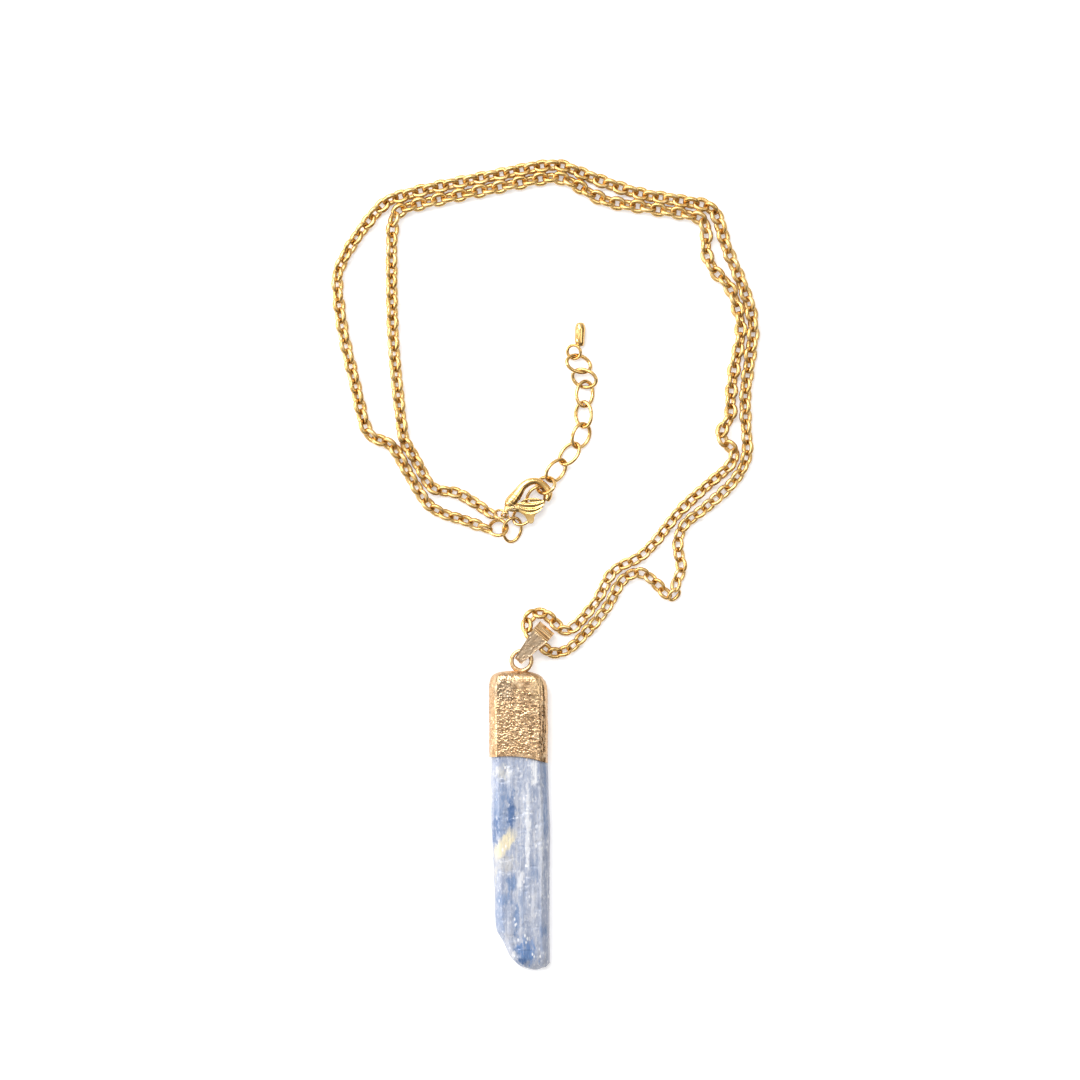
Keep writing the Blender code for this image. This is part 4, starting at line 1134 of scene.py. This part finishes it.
def bail_material():
    n = Nodes("bail_plate")
    c, s = math.cos(math.radians(BAIL_ANGLE)), math.sin(math.radians(BAIL_ANGLE))
    x, y, z = n.xyz()
    o = plan(*BAIL_TIP)
    dx, dy = n.math("SUBTRACT", x, o.x), n.math("SUBTRACT", y, o.y)
    u = n.math("ADD", n.math("MULTIPLY", dx, c), n.math("MULTIPLY", dy, s))
    v = n.math("SUBTRACT", n.math("MULTIPLY", dy, c), n.math("MULTIPLY", dx, s))
    comb = n.t.nodes.new("ShaderNodeCombineXYZ")
    n.link(u, comb.inputs["X"])
    n.link(v, comb.inputs["Y"])
    n.link(z, comb.inputs["Z"])
    vec = comb.outputs["Vector"]
    brush = n.noise(n.scaled(1500, 6500, 1500, vec), 1.0, 3.0, 0.6)
    across = n.noise(n.scaled(3600, 330, 3600, vec), 1.0, 3.0, 0.6)
    blot = n.noise(n.scaled(1700, 1700, 1700, vec), 1.0, 4.0, 0.65)
    fold = n.span(u, 0.0056, 0.0064)
    col = n.ramp(blot, [(0.3, (0.42, 0.29, 0.18)), (0.5, (0.66, 0.48, 0.31)), (0.68, (0.86, 0.68, 0.48))])
    col = n.mix(fold, col, n.ramp(across, [(0.35, (0.46, 0.25, 0.10)), (0.50, (0.78, 0.50, 0.24)), (0.66, (0.95, 0.78, 0.50))]))
    rough = n.mix(fold, n.ramp(blot, [(0.3, (0.5, 0.5, 0.5)), (0.7, (0.3, 0.3, 0.3))]), (0.22, 0.22, 0.22))
    b = n.bump(brush, 0.45, 0.00004)
    b = n.bump(across, 0.25, 0.00003, b)
    return n.set(Base_Color=col, Roughness=rough, Metallic=1.0, Normal=b)


blade = make_blade()
blade.data.materials.append(kyanite_material())
cap = make_cap()
cap.data.materials.append(cap_material())
loop = make_loop()
loop.data.materials.append(ROSE_WIRE)
bail = make_bail()
bail.data.materials.append(bail_material())
make_clasp()
make_drop()


# ---------------------------------------------------------------- floor, light
floor_mesh = bpy.data.meshes.new("floor")
floor_mesh.from_pydata([(-3, -3, 0), (3, -3, 0), (3, 3, 0), (-3, 3, 0)], [], [(0, 1, 2, 3)])
floor = bpy.data.objects.new("floor", floor_mesh)
bpy.context.scene.collection.objects.link(floor)
fl = Nodes("floor")
fl.set(
    Base_Color=fl.ramp(fl.noise(fl.scaled(30, 30, 30), 1.0, 2.0), [(0.3, (0.93, 0.93, 0.93)), (0.7, (0.95, 0.95, 0.95))]),
    Roughness=0.9,
    Emission_Color=(1.0, 1.0, 1.0),
    Emission_Strength=0.38,
)
floor_mesh.materials.append(fl.mat)

# A bright room: brightest low in the upper left, with a darker side in the
# lower right and a slightly dimmer zenith, which gives the metal its contrast.
world = bpy.data.worlds.new("studio")
bpy.context.scene.world = world
world.use_nodes = True
wt = world.node_tree
bg = wt.nodes["Background"]
tc = wt.nodes.new("ShaderNodeTexCoord")
mp = wt.nodes.new("ShaderNodeVectorMath")
mp.operation = "DOT_PRODUCT"
mp.inputs[1].default_value = (-0.62, 0.62, 0.12)
wt.links.new(tc.outputs["Generated"], mp.inputs[0])
mr = wt.nodes.new("ShaderNodeMapRange")
mr.inputs["From Min"].default_value = -0.9
mr.inputs["From Max"].default_value = 0.9
wt.links.new(mp.outputs["Value"], mr.inputs["Value"])
ramp = wt.nodes.new("ShaderNodeValToRGB")
el = ramp.color_ramp.elements
el[0].position, el[0].color = 0.10, (0.10, 0.08, 0.06, 1)
el[1].position, el[1].color = 0.95, (1.0, 0.99, 0.97, 1)
for pos, c in ((0.34, (0.30, 0.28, 0.26)), (0.50, (0.62, 0.61, 0.60)), (0.66, (0.92, 0.92, 0.92))):
    e = el.new(pos)
    e.color = (*c, 1)
wt.links.new(mr.outputs["Result"], ramp.inputs["Fac"])
wt.links.new(ramp.outputs["Color"], bg.inputs["Color"])
bg.inputs["Strength"].default_value = 0.80


def area_light(name, loc, target, size, power, colour=(1, 1, 1)):
    d = bpy.data.lights.new(name, "AREA")
    d.shape = "RECTANGLE"
    d.size, d.size_y = size
    d.energy = power
    d.color = colour
    o = bpy.data.objects.new(name, d)
    bpy.context.scene.collection.objects.link(o)
    o.location = loc
    o.rotation_euler = (Vector(target) - Vector(loc)).to_track_quat("-Z", "Y").to_euler()
    return o


area_light("key", (-0.42, 0.50, 0.60), (0, 0.04, 0), (0.5, 0.5), 3.4)
area_light("top_left_strip", (-0.10, 0.30, 0.75), (0, 0.04, 0), (0.35, 0.08), 1.5)
area_light("left_strip", (-0.62, 0.02, 0.30), (0, -0.01, 0), (0.10, 0.5), 1.3)
area_light("fill", (0.40, 0.05, 0.62), (0, 0.03, 0), (0.3, 0.3), 0.6)
bpy.context.scene.view_settings.view_transform = "Standard"
